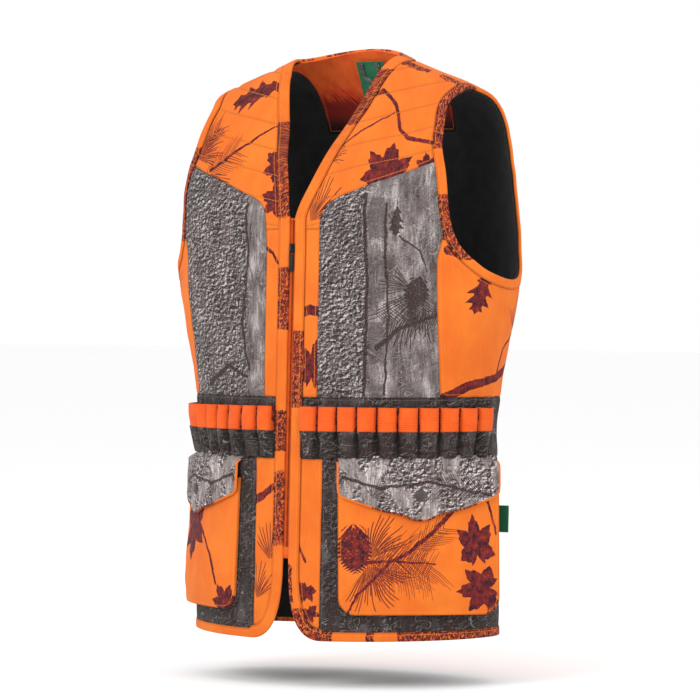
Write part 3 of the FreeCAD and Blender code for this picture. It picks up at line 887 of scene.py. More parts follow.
def facing_print():
    """The neck facing: a redder print with dark needles, the colour darkening towards the bottom and near
    black at its lower edge.
    """
    shade = Shade("facing_print")
    cloud = shade.noise(shade.s / 14, shade.z / 22, 4.0, 0.65, seed=1.0)
    needle = shade.noise((shade.s + shade.z * 0.7) / 2.4, (shade.z - shade.s * 0.5) / 26, 3.0, 0.6, seed=2.0)
    # depth grows towards the facing's lower edge; the colour darkens with it.
    depth = (shade.z * -1.0 - 34).ramp(-30, 62)
    colour = shade.mix((cloud + depth * 0.5).ramp(0.42, 0.86), (0.95, 0.150, 0.026), (0.80, 0.062, 0.018))
    colour = shade.mix((needle * 0.6 + depth * 0.62).ramp(0.44, 0.66), colour, (0.22, 0.016, 0.010))
    colour = shade.mix(depth.ramp(0.72, 1.0), colour, (0.012, 0.006, 0.006))
    colour, rows = sewn(shade, colour, ORANGE_LIGHT)
    return shade.finish(colour, shade.weave() + rows, depth=0.16, roughness=0.85, sheen=0.02)


def bark_ink(shade):
    """Red bark where the ink attribute says so: a ragged patch, flecked with the ground."""
    ragged = shade.noise(shade.s / 11, shade.z / 16, 3.0, 0.6, seed=21.0)
    area = (shade.ink + ragged * 1.1 - 0.98).ramp(-0.05, 0.07)
    fleck = shade.noise(shade.s / 2.6, shade.z / 4.0, 3.0, 0.7, warp=0.6, seed=23.0).ramp(0.60, 0.50)
    return area * (fleck * 0.86 + 0.14)


def bark_print(name, shapes=None, ground=None, warm=0.0, dim=0.8):
    """Grey camouflage: lit flakes of bark, boards and smooth trunks, with dark shapes over them."""
    shade = Shade(name)
    x, z = wobble(shade, 16.0, 4.0)

    def relief(wide, tall, shift, gain, detail, seed):
        here = shade.noise(x / wide, z / tall, detail, 0.62, seed=seed)
        lower = shade.noise((x + shift) / wide, (z - shift) / tall, detail, 0.62, seed=seed)
        return (here - lower) * gain + 0.5

    broad = shade.noise(shade.s / 20, shade.z / 50, 3.0, 0.6, seed=7.0)
    fine = shade.noise(shade.s / 1.6, shade.z / 2.4, 3.0, 0.7, seed=5.0)
    flakes = relief(5.8, 4.8, 1.3, 3.0, 4.0, 11.0)
    cracks = shade.noise(x / 3.2, z / 17, 3.0, 0.6, warp=0.8, seed=13.0)
    lit = flakes * 0.86 + (broad - 0.5) * 0.5 + (fine - 0.5) * 0.5
    bark = shade.mix(lit.ramp(0.18, 0.62), GREY_DARK, GREY)
    bark = shade.mix(lit.ramp(0.52, 0.88), bark, GREY_LIGHT)
    bark = shade.mix(cracks.ramp(0.40, 0.30) * 0.8, bark, GREY_DARK)
    grain = shade.noise(x / 2.0, z / 42, 4.0, 0.66, seed=12.0)
    mist = broad * 1.1 + (grain - 0.5) * 0.7 + (fine - 0.5) * 0.35
    trunk = shade.mix(mist.ramp(0.22, 0.56), GREY_DARK, GREY)
    trunk = shade.mix(mist.ramp(0.50, 0.92), trunk, GREY_LIGHT)
    row = ((z + 400) / 78).fract()
    plank = ((x.abs() - 121).abs().ramp(12, 9)) * row.ramp(0.10, 0.14) * row.ramp(0.80, 0.76)
    trunk = shade.mix(plank * 0.75, trunk, (0.115, 0.096, 0.092))
    colour = shade.mix(ground(shade, x, z) if ground else 0.25, bark, trunk)
    earth = shade.noise(shade.s / 24, shade.z / 20, 3.0, 0.6, seed=17.0).ramp(0.50, 0.64)
    colour = shade.scale(shade.mix(earth * 0.35 + warm, colour, BROWN), dim)
    twig = (shade.noise(x / 34, z / 26, 2.0, 0.55, warp=1.2, seed=19.0) - 0.5).abs()
    colour = shade.mix(twig.ramp(0.008, 0.002) * 0.25, colour, GREY_LIGHT)
    colour = shade.mix((twig - 0.030).abs().ramp(0.014, 0.004) * 0.45, colour, GREY_DARK)
    if shapes:
        dark = shade.mix(fine.ramp(0.40, 0.66), (0.014, 0.009, 0.010), (0.075, 0.042, 0.034))
        colour = shade.mix(ink_of(shade, shapes(shade, x, z)) * 0.92, colour, dark)
    colour = shade.mix(bark_ink(shade), colour, red_tone(shade))
    colour, rows = sewn(shade, colour, (0.12, 0.10, 0.09))
    return shade.finish(colour, shade.weave() + rows * 1.2, depth=0.16, roughness=0.84, sheen=0.03)


def plain_cloth(name, colour, other, pitch=1.1, depth=0.16, roughness=0.85, sheen=0.3, ribs=None):
    """A woven or ribbed cloth in one dye, uneven like yarn and a little worn, with painted shade in the ribs'
    grooves.
    """
    shade = Shade(name)
    cloud = shade.noise(shade.s / 22, shade.z / 22, 4.0, 0.6, seed=1.0)
    fine = shade.noise(shade.s / 0.8, shade.z / 0.8, 2.0, 0.6, seed=3.0)
    tone = shade.mix((cloud * 0.6 + fine * 0.4).ramp(0.35, 0.65), colour, other)
    tone = shade.mix(bark_ink(shade), tone, red_tone(shade))
    height = shade.weave(pitch)
    if ribs:
        rib = (shade.z * (2 * math.pi / ribs)).sin() * 0.5 + 0.5
        # Painted shade: the grooves between the ribs are darker, following the ribs' bump.
        tone = shade.scale(tone, rib * 0.12 + 0.90)
        height = height * 0.4 + rib * 1.6
    tone, rows = sewn(shade, tone, other)
    return shade.finish(tone, height + rows, depth=depth, roughness=roughness, sheen=sheen)


def hard(name, colour, other, roughness, metallic=0.0, scratches=90.0, coat=0.0):
    """Moulded plastic or plated metal, with fine scratches and dulled patches."""
    shade = Shade(name)
    node = shade.node("ShaderNodeTexCoord")
    place = {"Vector": node.outputs["Object"]}
    marks = shade.node("ShaderNodeTexNoise", {**place, "Scale": 900.0, "Detail": 3.0})
    patches = shade.node("ShaderNodeTexNoise", {**place, "Scale": scratches, "Detail": 2.0})
    mark, patch = Val(shade.tree, marks.outputs[0]), Val(shade.tree, patches.outputs[0])
    tone = shade.mix(patch.ramp(0.35, 0.65), colour, other)
    rough = patch.ramp(0.3, 0.7) * 0.16 + roughness
    return shade.finish(tone, mark, depth=0.03, roughness=rough, sheen=0.0, metallic=metallic, coat=coat)


# ---------------------------------------------------------------- the prints
# Positions are on the flat cloth: s from the centre front, positive on the wearer's left, and height.
def yoke_shapes(shade, x, z):
    return [
        branch(x, z,
               [(35, -92), (83, -53), (112, -46), (127, -64), (135, -96), (150, -108), (222, -120)],
               3.2, 2.4),
        branch(x, z, [(30, -130), (78, -98), (124, -74)], 1.6, 0.9),
        branch(x, z, [(-150, -146), (-104, -116), (-60, -84)], 2.6, 1.3),
        oak(x, z, (-108, -34), -158, 66, 24),
        branch(x, z, [(-116, -38), (-96, -44), (-84, -44)], 2.2, 3.4),
        maple(x, z, (126, -156), 84, 44),
        maple(x, z, (184, -146), 100, 20),
        maple(x, z, (-34, -140), 150, 31),
        maple(x, z, (-24, -184), 168, 30),
        needles(shade, (-190, -128), 38, 54, 120, 24, 0.9),
        spray(shade, (-192, -132), 60, 50, 22, 0.8, 3.4, 0.7),
        spray(shade, (-160, -152), 34, 54, 26, 0.9, 3.8, 0.6),
        needles(shade, (-154, -150), -36, 48, 70, 11, 0.8),
        needles(shade, (28, -212), 60, 62, 90, 15, 0.9),
        needles(shade, (30, -134), 12, 34, 50, 8, 0.7),
    ]


def front_shapes(shade, x, z):
    """The bands beside the zip, above and below the waist."""
    return [
        branch(x, z, [(12, -328), (28, -324), (48, -327)], 6.5, 6.0),
        maple(x, z, (34, -404), 82, 46, 0.5),
        branch(x, z, [(2, -596), (14, -612), (30, -642)], 2.6, 1.6),
        maple(x, z, (32, -676), 250, 19),
        maple(x, z, (36, -704), 290, 17),
        branch(x, z, [(-52, -566), (-38, -560), (-22, -548)], 6.0, 4.0),
        needles(shade, (-26, -640), 80, 48, 120, 14, 0.8),
        needles(shade, (-44, -690), 70, 50, 100, 12, 0.8),
        branch(x, z, [(-44, -244), (-30, -252), (-16, -272)], 2.6, 1.6),
    ]


def side_shapes(shade, x, z):
    return [
        oak(x, z, (264, -276), -110, 56, 20),
        branch(x, z, [(212, -249), (250, -262), (300, -278)], 5.5, 5.0),
        branch(x, z, [(196, -440), (238, -420), (286, -410), (345, -388)], 6.2, 4.6),
        branch(x, z, [(286, -410), (304, -372), (330, -352)], 2.2, 1.0),
        needles(shade, (330, -350), 60, 46, 140, 18),
        oak(x, z, (420, -300), 110, 70, 24),
        branch(x, z, [(-330, -430), (-280, -380), (-262, -300)], 5.0, 2.4),
        maple(x, z, (-300, -330), 60, 34),
        needles(shade, (-262, -300), 80, 50, 140, 18),
        oak(x, z, (-430, -300), 70, 66, 22),
    ]


def back_shapes(shade, x, z):
    return [
        branch(x, z, [(520, -330), (600, -300), (690, -322), (790, -286), (880, -300)], 6.0, 3.0),
        branch(x, z, [(600, -300), (640, -240), (650, -190)], 3.0, 1.4),
        maple(x, z, (650, -170), 80, 40),
        maple(x, z, (800, -210), 140, 36),
        oak(x, z, (730, -120), 30, 78, 24),
        oak(x, z, (570, -420), 60, 74, 24),
        needles(shade, (790, -286), 70, 70, 150, 28, 0.7),
        needles(shade, (600, -300), -60, 62, 150, 24, 0.7),
        branch(x, z, [(540, -690), (640, -640), (740, -650), (850, -590)], 4.6, 2.4),
        maple(x, z, (640, -600), 60, 34),
        oak(x, z, (800, -690), 50, 66, 22),
        maple(x, z, (560, -90), 200, 26),
        spray(shade, (516, -332), 22, 84, 30, 1.0),
        spray(shade, (694, -322), 18, 96, 32, 0.9),
        spray(shade, (640, -642), -4, 104, 28, 1.0),
        branch(x, z, [(500, -176), (560, -214), (596, -206)], 3.2, 1.4),
        needles(shade, (594, -206), 10, 44, 150, 22, 0.8),
        branch(x, z, [(620, -62), (700, -96), (800, -76), (860, -110)], 4.0, 1.6),
        spray(shade, (776, -80), -24, 84, 26, 0.9),
        maple(x, z, (704, -404), 250, 40, 0.8),
        branch(x, z, [(840, -560), (812, -480), (862, -400)], 4.0, 1.8),
        oak(x, z, (852, -446), 40, 66, 22),
        needles(shade, (812, -480), 150, 56, 120, 20, 0.7),
        maple(x, z, (530, -530), 100, 38),
        branch(x, z, [(520, -600), (560, -560), (640, -540)], 3.0, 1.4),
        oak(x, z, (706, -560), 160, 60, 20),
    ]


def left_pocket_shapes(shade, x, z):
    return [
        cone(shade, x, z, (-82, -110), 92, 58, 40),
        branch(x, z,
               [(46, -58), (14, -91), (-17, -116), (-39, -126), (-57, -146), (-80, -169), (-92, -194)],
               3.0, 1.3),
        branch(x, z, [(-68, -127), (-39, -125), (18, -129)], 2.0, 0.8),
        branch(x, z, [(84, -44), (90, -62), (98, -92)], 2.0, 1.2),
        spray(shade, (-64, -126), 3, 70, 42, 1.0),
        spray(shade, (-72, -128), -10, 84, 36, 0.3, 3.0, 0.5),
        spray(shade, (-6, -110), 36, 44, 22, 1.1, 3.6, 0.5),
        needles(shade, (-62, -122), 62, 62, 80, 16, 0.8),
        needles(shade, (-66, -132), -68, 62, 120, 24, 0.8),
        maple(x, z, (72, -112), 98, 46, 0.66),
        maple(x, z, (84, -160), 186, 40, 0.9),
    ]


def right_pocket_shapes(shade, x, z):
    return [
        maple(x, z, (18, -84), 262, 54),
        oak(x, z, (28, -66), 258, 66, 22),
        branch(x, z, [(25, -62), (-20, -96), (-52, -127), (-68, -162)], 1.6, 2.0),
        maple(x, z, (-86, -188), 60, 30),
        oak(x, z, (92, -190), 110, 50, 16),
    ]


def chest_shapes(shade, x, z):
    return [
        cone(shade, x, z, (172, -302), 80, 40, 30),
        needles(shade, (176, -304), -122, 78, 100, 20, 0.8),
        needles(shade, (166, -298), 158, 44, 70, 11, 0.7),
        spray(shade, (204, -322), 196, 74, 34, 0.7, 3.6, 0.7),
        branch(x, z, [(120, -372), (151, -346), (200, -330)], 3.0, 1.8),
        branch(x, z, [(134, -190), (132, -260), (136, -330), (130, -430)], 1.8, 1.4),
        branch(x, z, [(104, -180), (108, -280), (105, -430)], 2.4, 2.0),
        oak(x, z, (149, -194), -94, 38, 12),
        branch(x, z, [(152, -232), (176, -250), (186, -276)], 1.4, 0.8),
        branch(x, z, [(-66, -400), (-80, -340), (-68, -250), (-72, -190)], 2.2, 1.6),
        branch(x, z, [(-150, -420), (-104, -396), (-70, -410)], 3.6, 1.8),
        needles(shade, (-60, -300), 120, 40, 130, 14),
    ]


def waist_shapes(shade, x, z):
    return [
        branch(x, z, [(60, -520), (120, -495), (190, -505), (260, -488)], 2.6, 1.8),
        branch(x, z, [(-60, -495), (-130, -505), (-220, -490)], 2.6, 1.8),
        needles(shade, (150, -470), -70, 36, 150, 16),
        needles(shade, (90, -640), 80, 60, 130, 20),
        needles(shade, (240, -700), 60, 60, 130, 20),
        branch(x, z, [(60, -735), (90, -640), (84, -560)], 3.4, 2.0),
        branch(x, z, [(200, -738), (260, -690), (330, -640)], 3.6, 2.0),
        branch(x, z, [(-200, -738), (-260, -690), (-330, -640)], 3.6, 2.0),
    ]


def flap_shapes(shade, x, z):
    return [
        branch(x, z, [(-96, -20), (-50, -34), (10, -26), (90, -44)], 2.2, 1.6),
        needles(shade, (-60, -46), 60, 30, 150, 12),
        spray(shade, (84, -40), 172, 56, 24, 0.8),
    ]


def trunks(shade, x, z):
    """Where the grey print shows boards and smooth trunks rather than flaking bark."""
    right = x.ramp(102, 112) * x.ramp(210, 200) * 0.85
    left = x.ramp(-74, -66) * x.ramp(-20, -30)
    return right.most(left)


def patches(shade, x, z):
    return shade.noise(x / 26, z / 60, 2.0, 0.5, seed=31.0).ramp(0.48, 0.56)


def rise(value, low, high):
    f = np.clip((value - low) / (high - low), 0, 1)
    return f * f * (3 - 2 * f)


def between(value, low, high, soft=6.0):
    return rise(value, low - soft, low) * rise(-value, -high - soft, -high)


def yoke_ink(base, place, side):
    """Red bark printed along the shoulder seam and beside the armhole."""
    x, y, z = base.T
    top = rise(y, -22, -12) * (between(x, 60, 128) + between(x, 150, 182))
    if side < 0:
        return top * 0.5 + between(place[:, 0], -300, -214) * between(z, -150, -112) * 0.75
    return top * 0.9


def side_ink(base, place, side):
    """Red bark beside the chest seam under the armhole."""
    x, y, z = base.T
    depth = 0.9 if side > 0 else 0.5
    return rise(-y, 10, 30) * between(x, 190, 202, 5) * between(z, -232, -150, 10) * depth


def binding_ink(points, place, side):
    """The binding is cut from the print, so red bark comes and goes along it."""
    z = points[:, 2]
    x = np.abs(points[:, 0])
    if side > 0:
        hem = between(x, 14, 66, 5) + between(x, 112, 118, 3) + between(x, 150, 214, 8)
        low = np.where(x < 12, between(z, -730, -650, 8), hem * (z < -700))
        return between(z, -444, -354, 8) * 0.8 + low * 0.95
    return between(z, -345, -274, 8) * 0.9 + between(z, -500, -455, 8) * 0.7 + between(z, -620, -530, 8) * 0.6


def neck_ink(points, place, side):
    x, y, z = points.T
    left = np.where(x > 0, between(z, -86, -20, 5), between(z, -212, -86, 5))
    return left * 0.95 * (y < 5) + 0.45 * (y > 5)


def armhole_ink(points, place, side):
    _, y, z = points.T
    front = rise(-y, -20, 6)
    if side > 0:
        return front * (between(z, -118, -30, 6) + between(z, -258, -182, 6)) * 0.95 + (1 - front) * 0.2
    return front * between(z, -230, -120, 8) * 0.8 + 0.2


def hem_ink(points, place, side):
    return 0.5 + 0.45 * np.sin(place[:, 0] / 24.0) * np.sin(place[:, 0] / 61.0)


# ---------------------------------------------------------------- finishes
YOKE = orange_print("yoke_print", yoke_shapes, quilted=True, faint=0.9)
BANDS = orange_print("band_print", front_shapes)
SIDES = orange_print("side_print", side_shapes)
BACK = orange_print("back_print", back_shapes)
BOUND = orange_print("binding_print")
LEFT_BAG = orange_print("left_pocket_print", left_pocket_shapes)
RIGHT_BAG = orange_print("right_pocket_print", right_pocket_shapes)
CHEST = bark_print("chest_bark", chest_shapes, trunks, dim=0.88)
WAIST = bark_print("waist_bark", waist_shapes, patches, warm=0.45, dim=0.30)
FLAP = bark_print("flap_bark", flap_shapes, patches, dim=1.3)
ELASTIC = plain_cloth(
    "ribbed_elastic", (0.80, 0.118, 0.014), (0.70, 0.085, 0.010), ribs=2.6, depth=0.22, sheen=0.05
)
LINING = plain_cloth(
    "mesh_lining", (0.008, 0.008, 0.009), (0.018, 0.018, 0.020), pitch=1.6, depth=0.3, sheen=0.1
)
FACING = facing_print()
TAPE = plain_cloth("zip_tape_weave", (0.86, 0.15, 0.02), (0.72, 0.11, 0.016), pitch=0.8)
GREEN = plain_cloth(
    "green_satin", (0.010, 0.165, 0.068), (0.006, 0.110, 0.045), pitch=0.5, depth=0.08, roughness=0.5
)
STRAP = bark_print("strap_bark")
TEETH = hard("moulded_teeth", (0.62, 0.095, 0.008), (0.50, 0.070, 0.006), 0.48)
LACQUER = hard("black_lacquer", (0.012, 0.012, 0.014), (0.03, 0.03, 0.034), 0.30, metallic=0.6)
RUBBER = hard("black_rubber", (0.010, 0.010, 0.011), (0.022, 0.022, 0.024), 0.62)
ENAMEL = hard("snap_enamel", (0.052, 0.042, 0.039), (0.095, 0.078, 0.072), 0.50)
NICKEL = hard("nickelled_brass", (0.52, 0.50, 0.47), (0.36, 0.34, 0.32), 0.28, metallic=1.0)

# ---------------------------------------------------------------- the shell
SIDE_NAMES = ((1, "left_"), (-1, "right_"))
PANELS = {
    "front_yoke": ([past_binding, past_armhole_binding, above_chest_seam, above(BAND_TOP), in_front],
                   (6.0, TOP), (-90, 0), YOKE, dict(relief=quilted, ink=yoke_ink, step=2.7)),
    "centre_band": ([past_binding, above_chest_seam, below(BAND_TOP), above(WAIST_TOP)],
                    (3.0, 8.0), (-90, -60), BANDS, {}),
    "chest_panel": ([past_binding, below_chest_seam, inside_side_seam, past_armhole_binding,
                     above(WAIST_TOP)],
                    (3.0, 10.0), (-88, -10), CHEST, {}),
    "side_panel": ([outside_side_seam, side_panel_top, past_armhole_binding, above(WAIST_TOP)],
                   (3.0, 10.0), (-62, 80), SIDES, dict(ink=side_ink)),
    "waist_band": ([past_binding, below(WAIST_TOP), above(WAIST_BOTTOM), ahead_of_back],
                   (2.0, 4.0), (-90, 70), WAIST, {}),
    "lower_centre_band": ([past_binding, within(LOWER_FRONT), below(WAIST_BOTTOM), above_hem],
                          (0.0, 3.0), (-90, -60), BANDS, {}),
    "lower_panel": ([beyond_lower_band, below(WAIST_BOTTOM), above_hem],
                    (0.0, 3.0), (-84, 70), WAIST, {}),
}
for side, prefix in SIDE_NAMES:
    for name, (keepers, span, angles, material, more) in PANELS.items():
        panel(prefix + name, side, keepers, span, angles, material, **more)

UNDER = dict(offset=-3.3, thickness=1.0, step=6.0)
BACKS = {
    "back_yoke": ([past_neck_binding, above(BACK_YOKE)], (6.0, TOP)),
    "back_panel": ([within(BACK_SIDE), below(BACK_YOKE), above(WAIST_BOTTOM)], (2.0, 8.6)),
    "back_lower_panel": ([within(BACK_SIDE), below(WAIST_BOTTOM), above_hem], (0.0, 3.0)),
}
for name, (keepers, span) in BACKS.items():
    panel(name, 0, [past_armhole_binding, behind] + keepers, span, (0, 180), BACK)


def facing_zone(p, t):
    return np.minimum(FACING_HALF - p[:, 0], p[:, 2] - FACING_BOTTOM)


def inside_facing_edge(p, t):
    return inside_front_edge(p, t) - 13


def lining_hem(p, t):
    return t * HEM_LEVEL - 10


for side, prefix in SIDE_NAMES:
    panel(prefix + "lining", side, [inside_facing_edge, outside_armhole, in_front, lining_hem],
          (0.0, TOP), (-89, 0), LINING, **UNDER)
panel("back_lining", 0, [outside_armhole, behind, lambda p, t: -facing_zone(p, t), lining_hem],
      (0.0, TOP), (0, 180), LINING, **UNDER)
panel("back_neck_facing", 0, [facing_zone, behind], (8.0, TOP), (0, 180), FACING, offset=-3.2, thickness=1.2)

# ---------------------------------------------------------------- bindings
# Across the strip from its inner edge to the garment's edge and back underneath, and how far each
# point stands off the torso. The dip is the row that sews it down.
STRIP = np.array([
    (1.0, -0.7), (0.985, 0.5), (0.93, 0.95), (0.88, 0.35), (0.83, 1.05), (0.55, 1.25), (0.2, 1.2),
    (0.06, 0.8), (0.0, -0.4), (0.0, -1.6), (0.07, -2.7), (0.4, -3.0), (0.95, -3.0),
])
ACROSS, PROUD = STRIP.T
# Each row's distance for sewn(): the stitching runs where it passes 3.4, and painted shade falls where it is
# small, at the inner edges and in the dip.
STRIP_EDGE = np.array([0, 0.6, 2.2, 1.0, 2.2, 6, 6, 6, 6, 6, 6, 6, 0])


def normals(line, closed=False):
    """Unit vectors to the left of a line as it is walked."""
    ahead = np.roll(line, -1, axis=0) - np.roll(line, 1, axis=0)
    if not closed:
        ahead[0], ahead[-1] = line[1] - line[0], line[-1] - line[-2]
    ahead /= np.linalg.norm(ahead, axis=1, keepdims=True)
    return np.stack([-ahead[:, 1], ahead[:, 0]], -1)


def front_strip(line, width):
    """Rows of (level, angle) across a strip inside a line seen from the front."""
    q = line[:, None] + normals(line)[:, None] * (ACROSS * width)[None, :, None]
    t, angle = from_front(q[..., 0].ravel(), q[..., 1].ravel())
    shape = (len(line), len(ACROSS))
    return np.maximum(t, 0).reshape(shape), angle.reshape(shape)


def ring_strip(level_at, towards, angles, width):
    """The same inside the hem ring (towards 1) or outside the neck ring (towards -1)."""
    a = np.radians(angles)[:, None] + 0 * ACROSS[None, :]
    one = np.full_like(a, float(level_at))
    reach = np.linalg.norm(torso(one, a) - torso(one + 0.25 * towards, a), axis=-1) * 4
    return one + towards * ACROSS * width / reach, a


STRAIGHT = np.stack([np.full(150, EDGE_GAP), np.linspace(-206, -641, 150)], -1)
CORNER_LINE = even(np.concatenate([STRAIGHT[-1:], CORNER]), 60)
CORNER_END = math.degrees(float(from_front(np.array([54.0]), np.array([-740.6]))[1][0]))
for side, prefix in SIDE_NAMES:
    front = [front_strip(np.concatenate([STRAIGHT[:-1], CORNER_LINE[:-2]]), BINDING)]
    front.append(ring_strip(0, 1, np.linspace(CORNER_END + 1, 0, 90), HEM_BINDING))
    binding(prefix + "front_binding", *(np.concatenate(part) for part in zip(*front)), side, binding_ink)
    away = -normals(ARMHOLE, True)
    step = from_side(*(ARMHOLE + 4.0 * away).T)
    share = 4.0 / np.linalg.norm(torso(*step) - armhole_rim(), axis=1)
    rim = ARMHOLE[:, None] + (away * share[:, None])[:, None] * (ACROSS * ARMHOLE_BINDING)[None, :, None]
    t, angle = from_side(rim[..., 0].ravel(), rim[..., 1].ravel())
    shape = rim.shape[:2]
    binding(prefix + "armhole_binding", t.reshape(shape), angle.reshape(shape), side, armhole_ink, wrap=True)

NECK_MEETS = 0.47
v_line = V_LINE[V_LINE[:, 1] < -24]
v_t, v_angle = front_strip(v_line[::-1], BINDING)
past = math.degrees(NECK_MEETS)
ring_t, ring_angle = ring_strip(TOP, -1, np.linspace(-past, 180 + past, 110), BINDING)
rows_t = np.concatenate([v_t[::-1], ring_t, v_t])
rows_angle = np.concatenate([v_angle[::-1], ring_angle, math.pi - v_angle])
binding("neckline_binding", rows_t, rows_angle, 0, neck_ink)
binding("back_hem_binding", *ring_strip(0, 1, np.linspace(0, 180, 180), HEM_BINDING), 0, hem_ink)

# ---------------------------------------------------------------- cartridge loops
LOOPS, STEPS, LOOP_DEPTH, LOOPS_FROM, LOOPS_TO = 10, 20, 10.6, -82.0, -1.0
LOOP_TOP, LOOP_BOTTOM, HOLDER_BOTTOM = -446.0, -477.0, -510.0


def round_the_waist(z, share, stand, side):
    """Points spread evenly round the waist at one height, each standing off the cloth."""
    t = search_level(lambda middle: level(middle)[..., 1], np.array([z]))[0]
    fine = np.radians(np.linspace(LOOPS_FROM, LOOPS_TO, 400))
    reach = arc(np.full_like(fine, t), fine)
    angle = np.interp(reach[0] + share * (reach[-1] - reach[0]), reach, fine)
    levels = np.full_like(angle, t)
    return lay(levels, angle, stand, side), flat(levels, angle, side)


def loop_cloth(name, side, heights, stand_at, material, thickness=1.3, red=0.0):
    """A cloth sewn down between its loops, with red painted shade in the gaps between them and darker painted
    shade along its creases.
    """
    share = np.arange(LOOPS * STEPS + 1) / (LOOPS * STEPS)
    across = np.abs(2 * ((share * LOOPS) % 1) - 1)
    across[0] = across[-1] = 1.0
    rows = [round_the_waist(z, share, stand_at(across, z, share) + thickness, side) for z in heights]
    under = [round_the_waist(z, share, stand_at(across, z, share), side) for z in heights]
    outer, place = (np.concatenate(part) for part in zip(*rows))
    inner = np.concatenate([points for points, _ in under])
    deep = np.array([max(LOOP_BOTTOM - z, 0) / (LOOP_BOTTOM - HOLDER_BOTTOM) for z in heights])
    # Painted shade: the edge attribute falls towards each loop's sides and the cloth's top and bottom, and
    # below zero down the holder's pleats, so sewn() darkens them there.
    crease = (2.6 - 2.5 * across**3 - 5.5 * across**5 * np.sqrt(deep)[:, None]).ravel()
    ends = np.repeat(np.minimum(np.abs(heights - heights[0]), np.abs(heights - heights[-1])), len(share))
    piece = solid_cloth(name, outer, inner, grid_faces(len(heights), len(share)), -side, material, place,
                        np.minimum(crease, ends + 0.8), np.tile(red * across**6, len(heights)))
    return worn(piece, name)


def boxy(across, z, share):
    q = (z - LOOP_BOTTOM) / (LOOP_TOP - LOOP_BOTTOM)
    full = LOOP_DEPTH * (1 - 0.05 * math.cos(2 * math.pi * q)) + 0.5 * np.sin(share * 47)
    return 0.9 + full * (1 - across**4) ** 0.55


def pleated(across, z, share):
    q = (LOOP_BOTTOM - z) / (LOOP_BOTTOM - HOLDER_BOTTOM)
    narrow = np.clip(across * (1 + 0.75 * q) + 0.06 * q * np.sin(share * 83), 0, 1)
    depth = LOOP_DEPTH * (1 - q) ** 0.8 + 2.2 * q
    return 0.9 + depth * (1 - narrow ** (4 - 2 * q)) ** 0.6


for side, prefix in SIDE_NAMES:
    # The elastic's red in the gaps between loops, carried by the ink attribute, is painted shade.
    loop_cloth(prefix + "cartridge_elastic", side, np.linspace(LOOP_TOP, LOOP_BOTTOM, 17), boxy, ELASTIC,
               red=0.70)
    loop_cloth(prefix + "cartridge_holder", side, np.linspace(LOOP_BOTTOM, HOLDER_BOTTOM, 17), pleated, WAIST)

# ---------------------------------------------------------------- pockets
TURN, LEAN, ROUND = math.radians(38), math.radians(2.5), 270.0
HINGE = np.array([169.66, -95.34, -513.0])
HALF, BAG_TOP, BAG_BOTTOM, CORNER_R = 102.0, -24.0, -193.0, 22.0
FLAP_HALF = 101.0
FACE_NEAR, FACE_FAR, SNAP_HEIGHT = 3.4, 5.0, -43.0


def on_pocket(points, side):
    """Points on the hinge line's own axes, X along it, -Y outwards and Z up, moved onto the vest."""
    x, y, z = np.moveaxis(np.asarray(points, float), -1, 0)
    y, z = y * math.cos(LEAN) + z * math.sin(LEAN), z * math.cos(LEAN) - y * math.sin(LEAN)
    x, y = x * math.cos(TURN) - y * math.sin(TURN), x * math.sin(TURN) + y * math.cos(TURN)
    placed = np.stack([x, y, z], -1) + HINGE
    placed[..., 0] *= side
    return placed


def bowed(x, depth, z):
    """A point at a depth behind the bowed flap's middle."""
    return np.stack([x, ROUND - np.sqrt((ROUND - depth) ** 2 - x**2), z], -1)


def depth_to_body(x, z):
    """How deep behind each point the vest's own cloth lies."""
    low, high = np.full_like(x, -20.0), np.full_like(x, 140.0)
    for _ in range(30):
        middle = (low + high) / 2
        p = on_pocket(bowed(x, middle, z), 1)
        t = search_level(lambda m: level(m)[..., 1], p[..., 2])
        _, _, _, a, b, _, n = np.moveaxis(level(t), -1, 0)
        back = LEVELS[3, 5]
        outside = np.abs(p[..., 0] / a) ** n + np.abs(p[..., 1] / np.where(p[..., 1] < 0, b, back)) ** n > 1
        low, high = np.where(outside, middle, low), np.where(outside, high, middle)
    return (low + high) / 2


def bag_distance(x, z):
    """Distance inside the bag's outline, whose lower corners are round."""
    p = np.abs(x) - (HALF - CORNER_R)
    q = (BAG_BOTTOM + CORNER_R) - z
    corner = np.hypot(np.maximum(p, 0), np.maximum(q, 0)) + np.minimum(np.maximum(p, q), 0)
    return np.minimum(CORNER_R - corner, BAG_TOP - z)


FLAP_SIDE = spline(
    [(FLAP_HALF, 30), (FLAP_HALF, 2), (FLAP_HALF, -34),
     (98, -42), (88, -47), (50, -60), (24, -66), (10, -72), (0, -73)], 70
)
FLAP_LINE = np.concatenate([FLAP_SIDE * (-1, 1), FLAP_SIDE[-2::-1]])


def bag_lift(x, z):
    """How far the filled bag's face swells and creases."""
    low = rise(-z, 92, 140)
    swell = 5.0 * low * np.clip(1 - (x / HALF) ** 2, 0, 1) * rise(z, BAG_BOTTOM, BAG_BOTTOM + 34)
    crease = 0.9 * bumps(x + 40, z * 0.8, 74, 3.0) * rise(bag_distance(x, z), 0, 18) * rise(-z, 86, 110)
    return swell + crease


def cut_grid(xs, zs, distance):
    """A grid on the pocket's plane, cut to an outline: x, z and faces."""
    z, x = np.meshgrid(zs, xs, indexing="ij")
    params = np.stack([x.ravel(), z.ravel()], -1)
    return clip(params, grid_faces(len(zs), len(xs)), distance(params[:, 0], params[:, 1]))


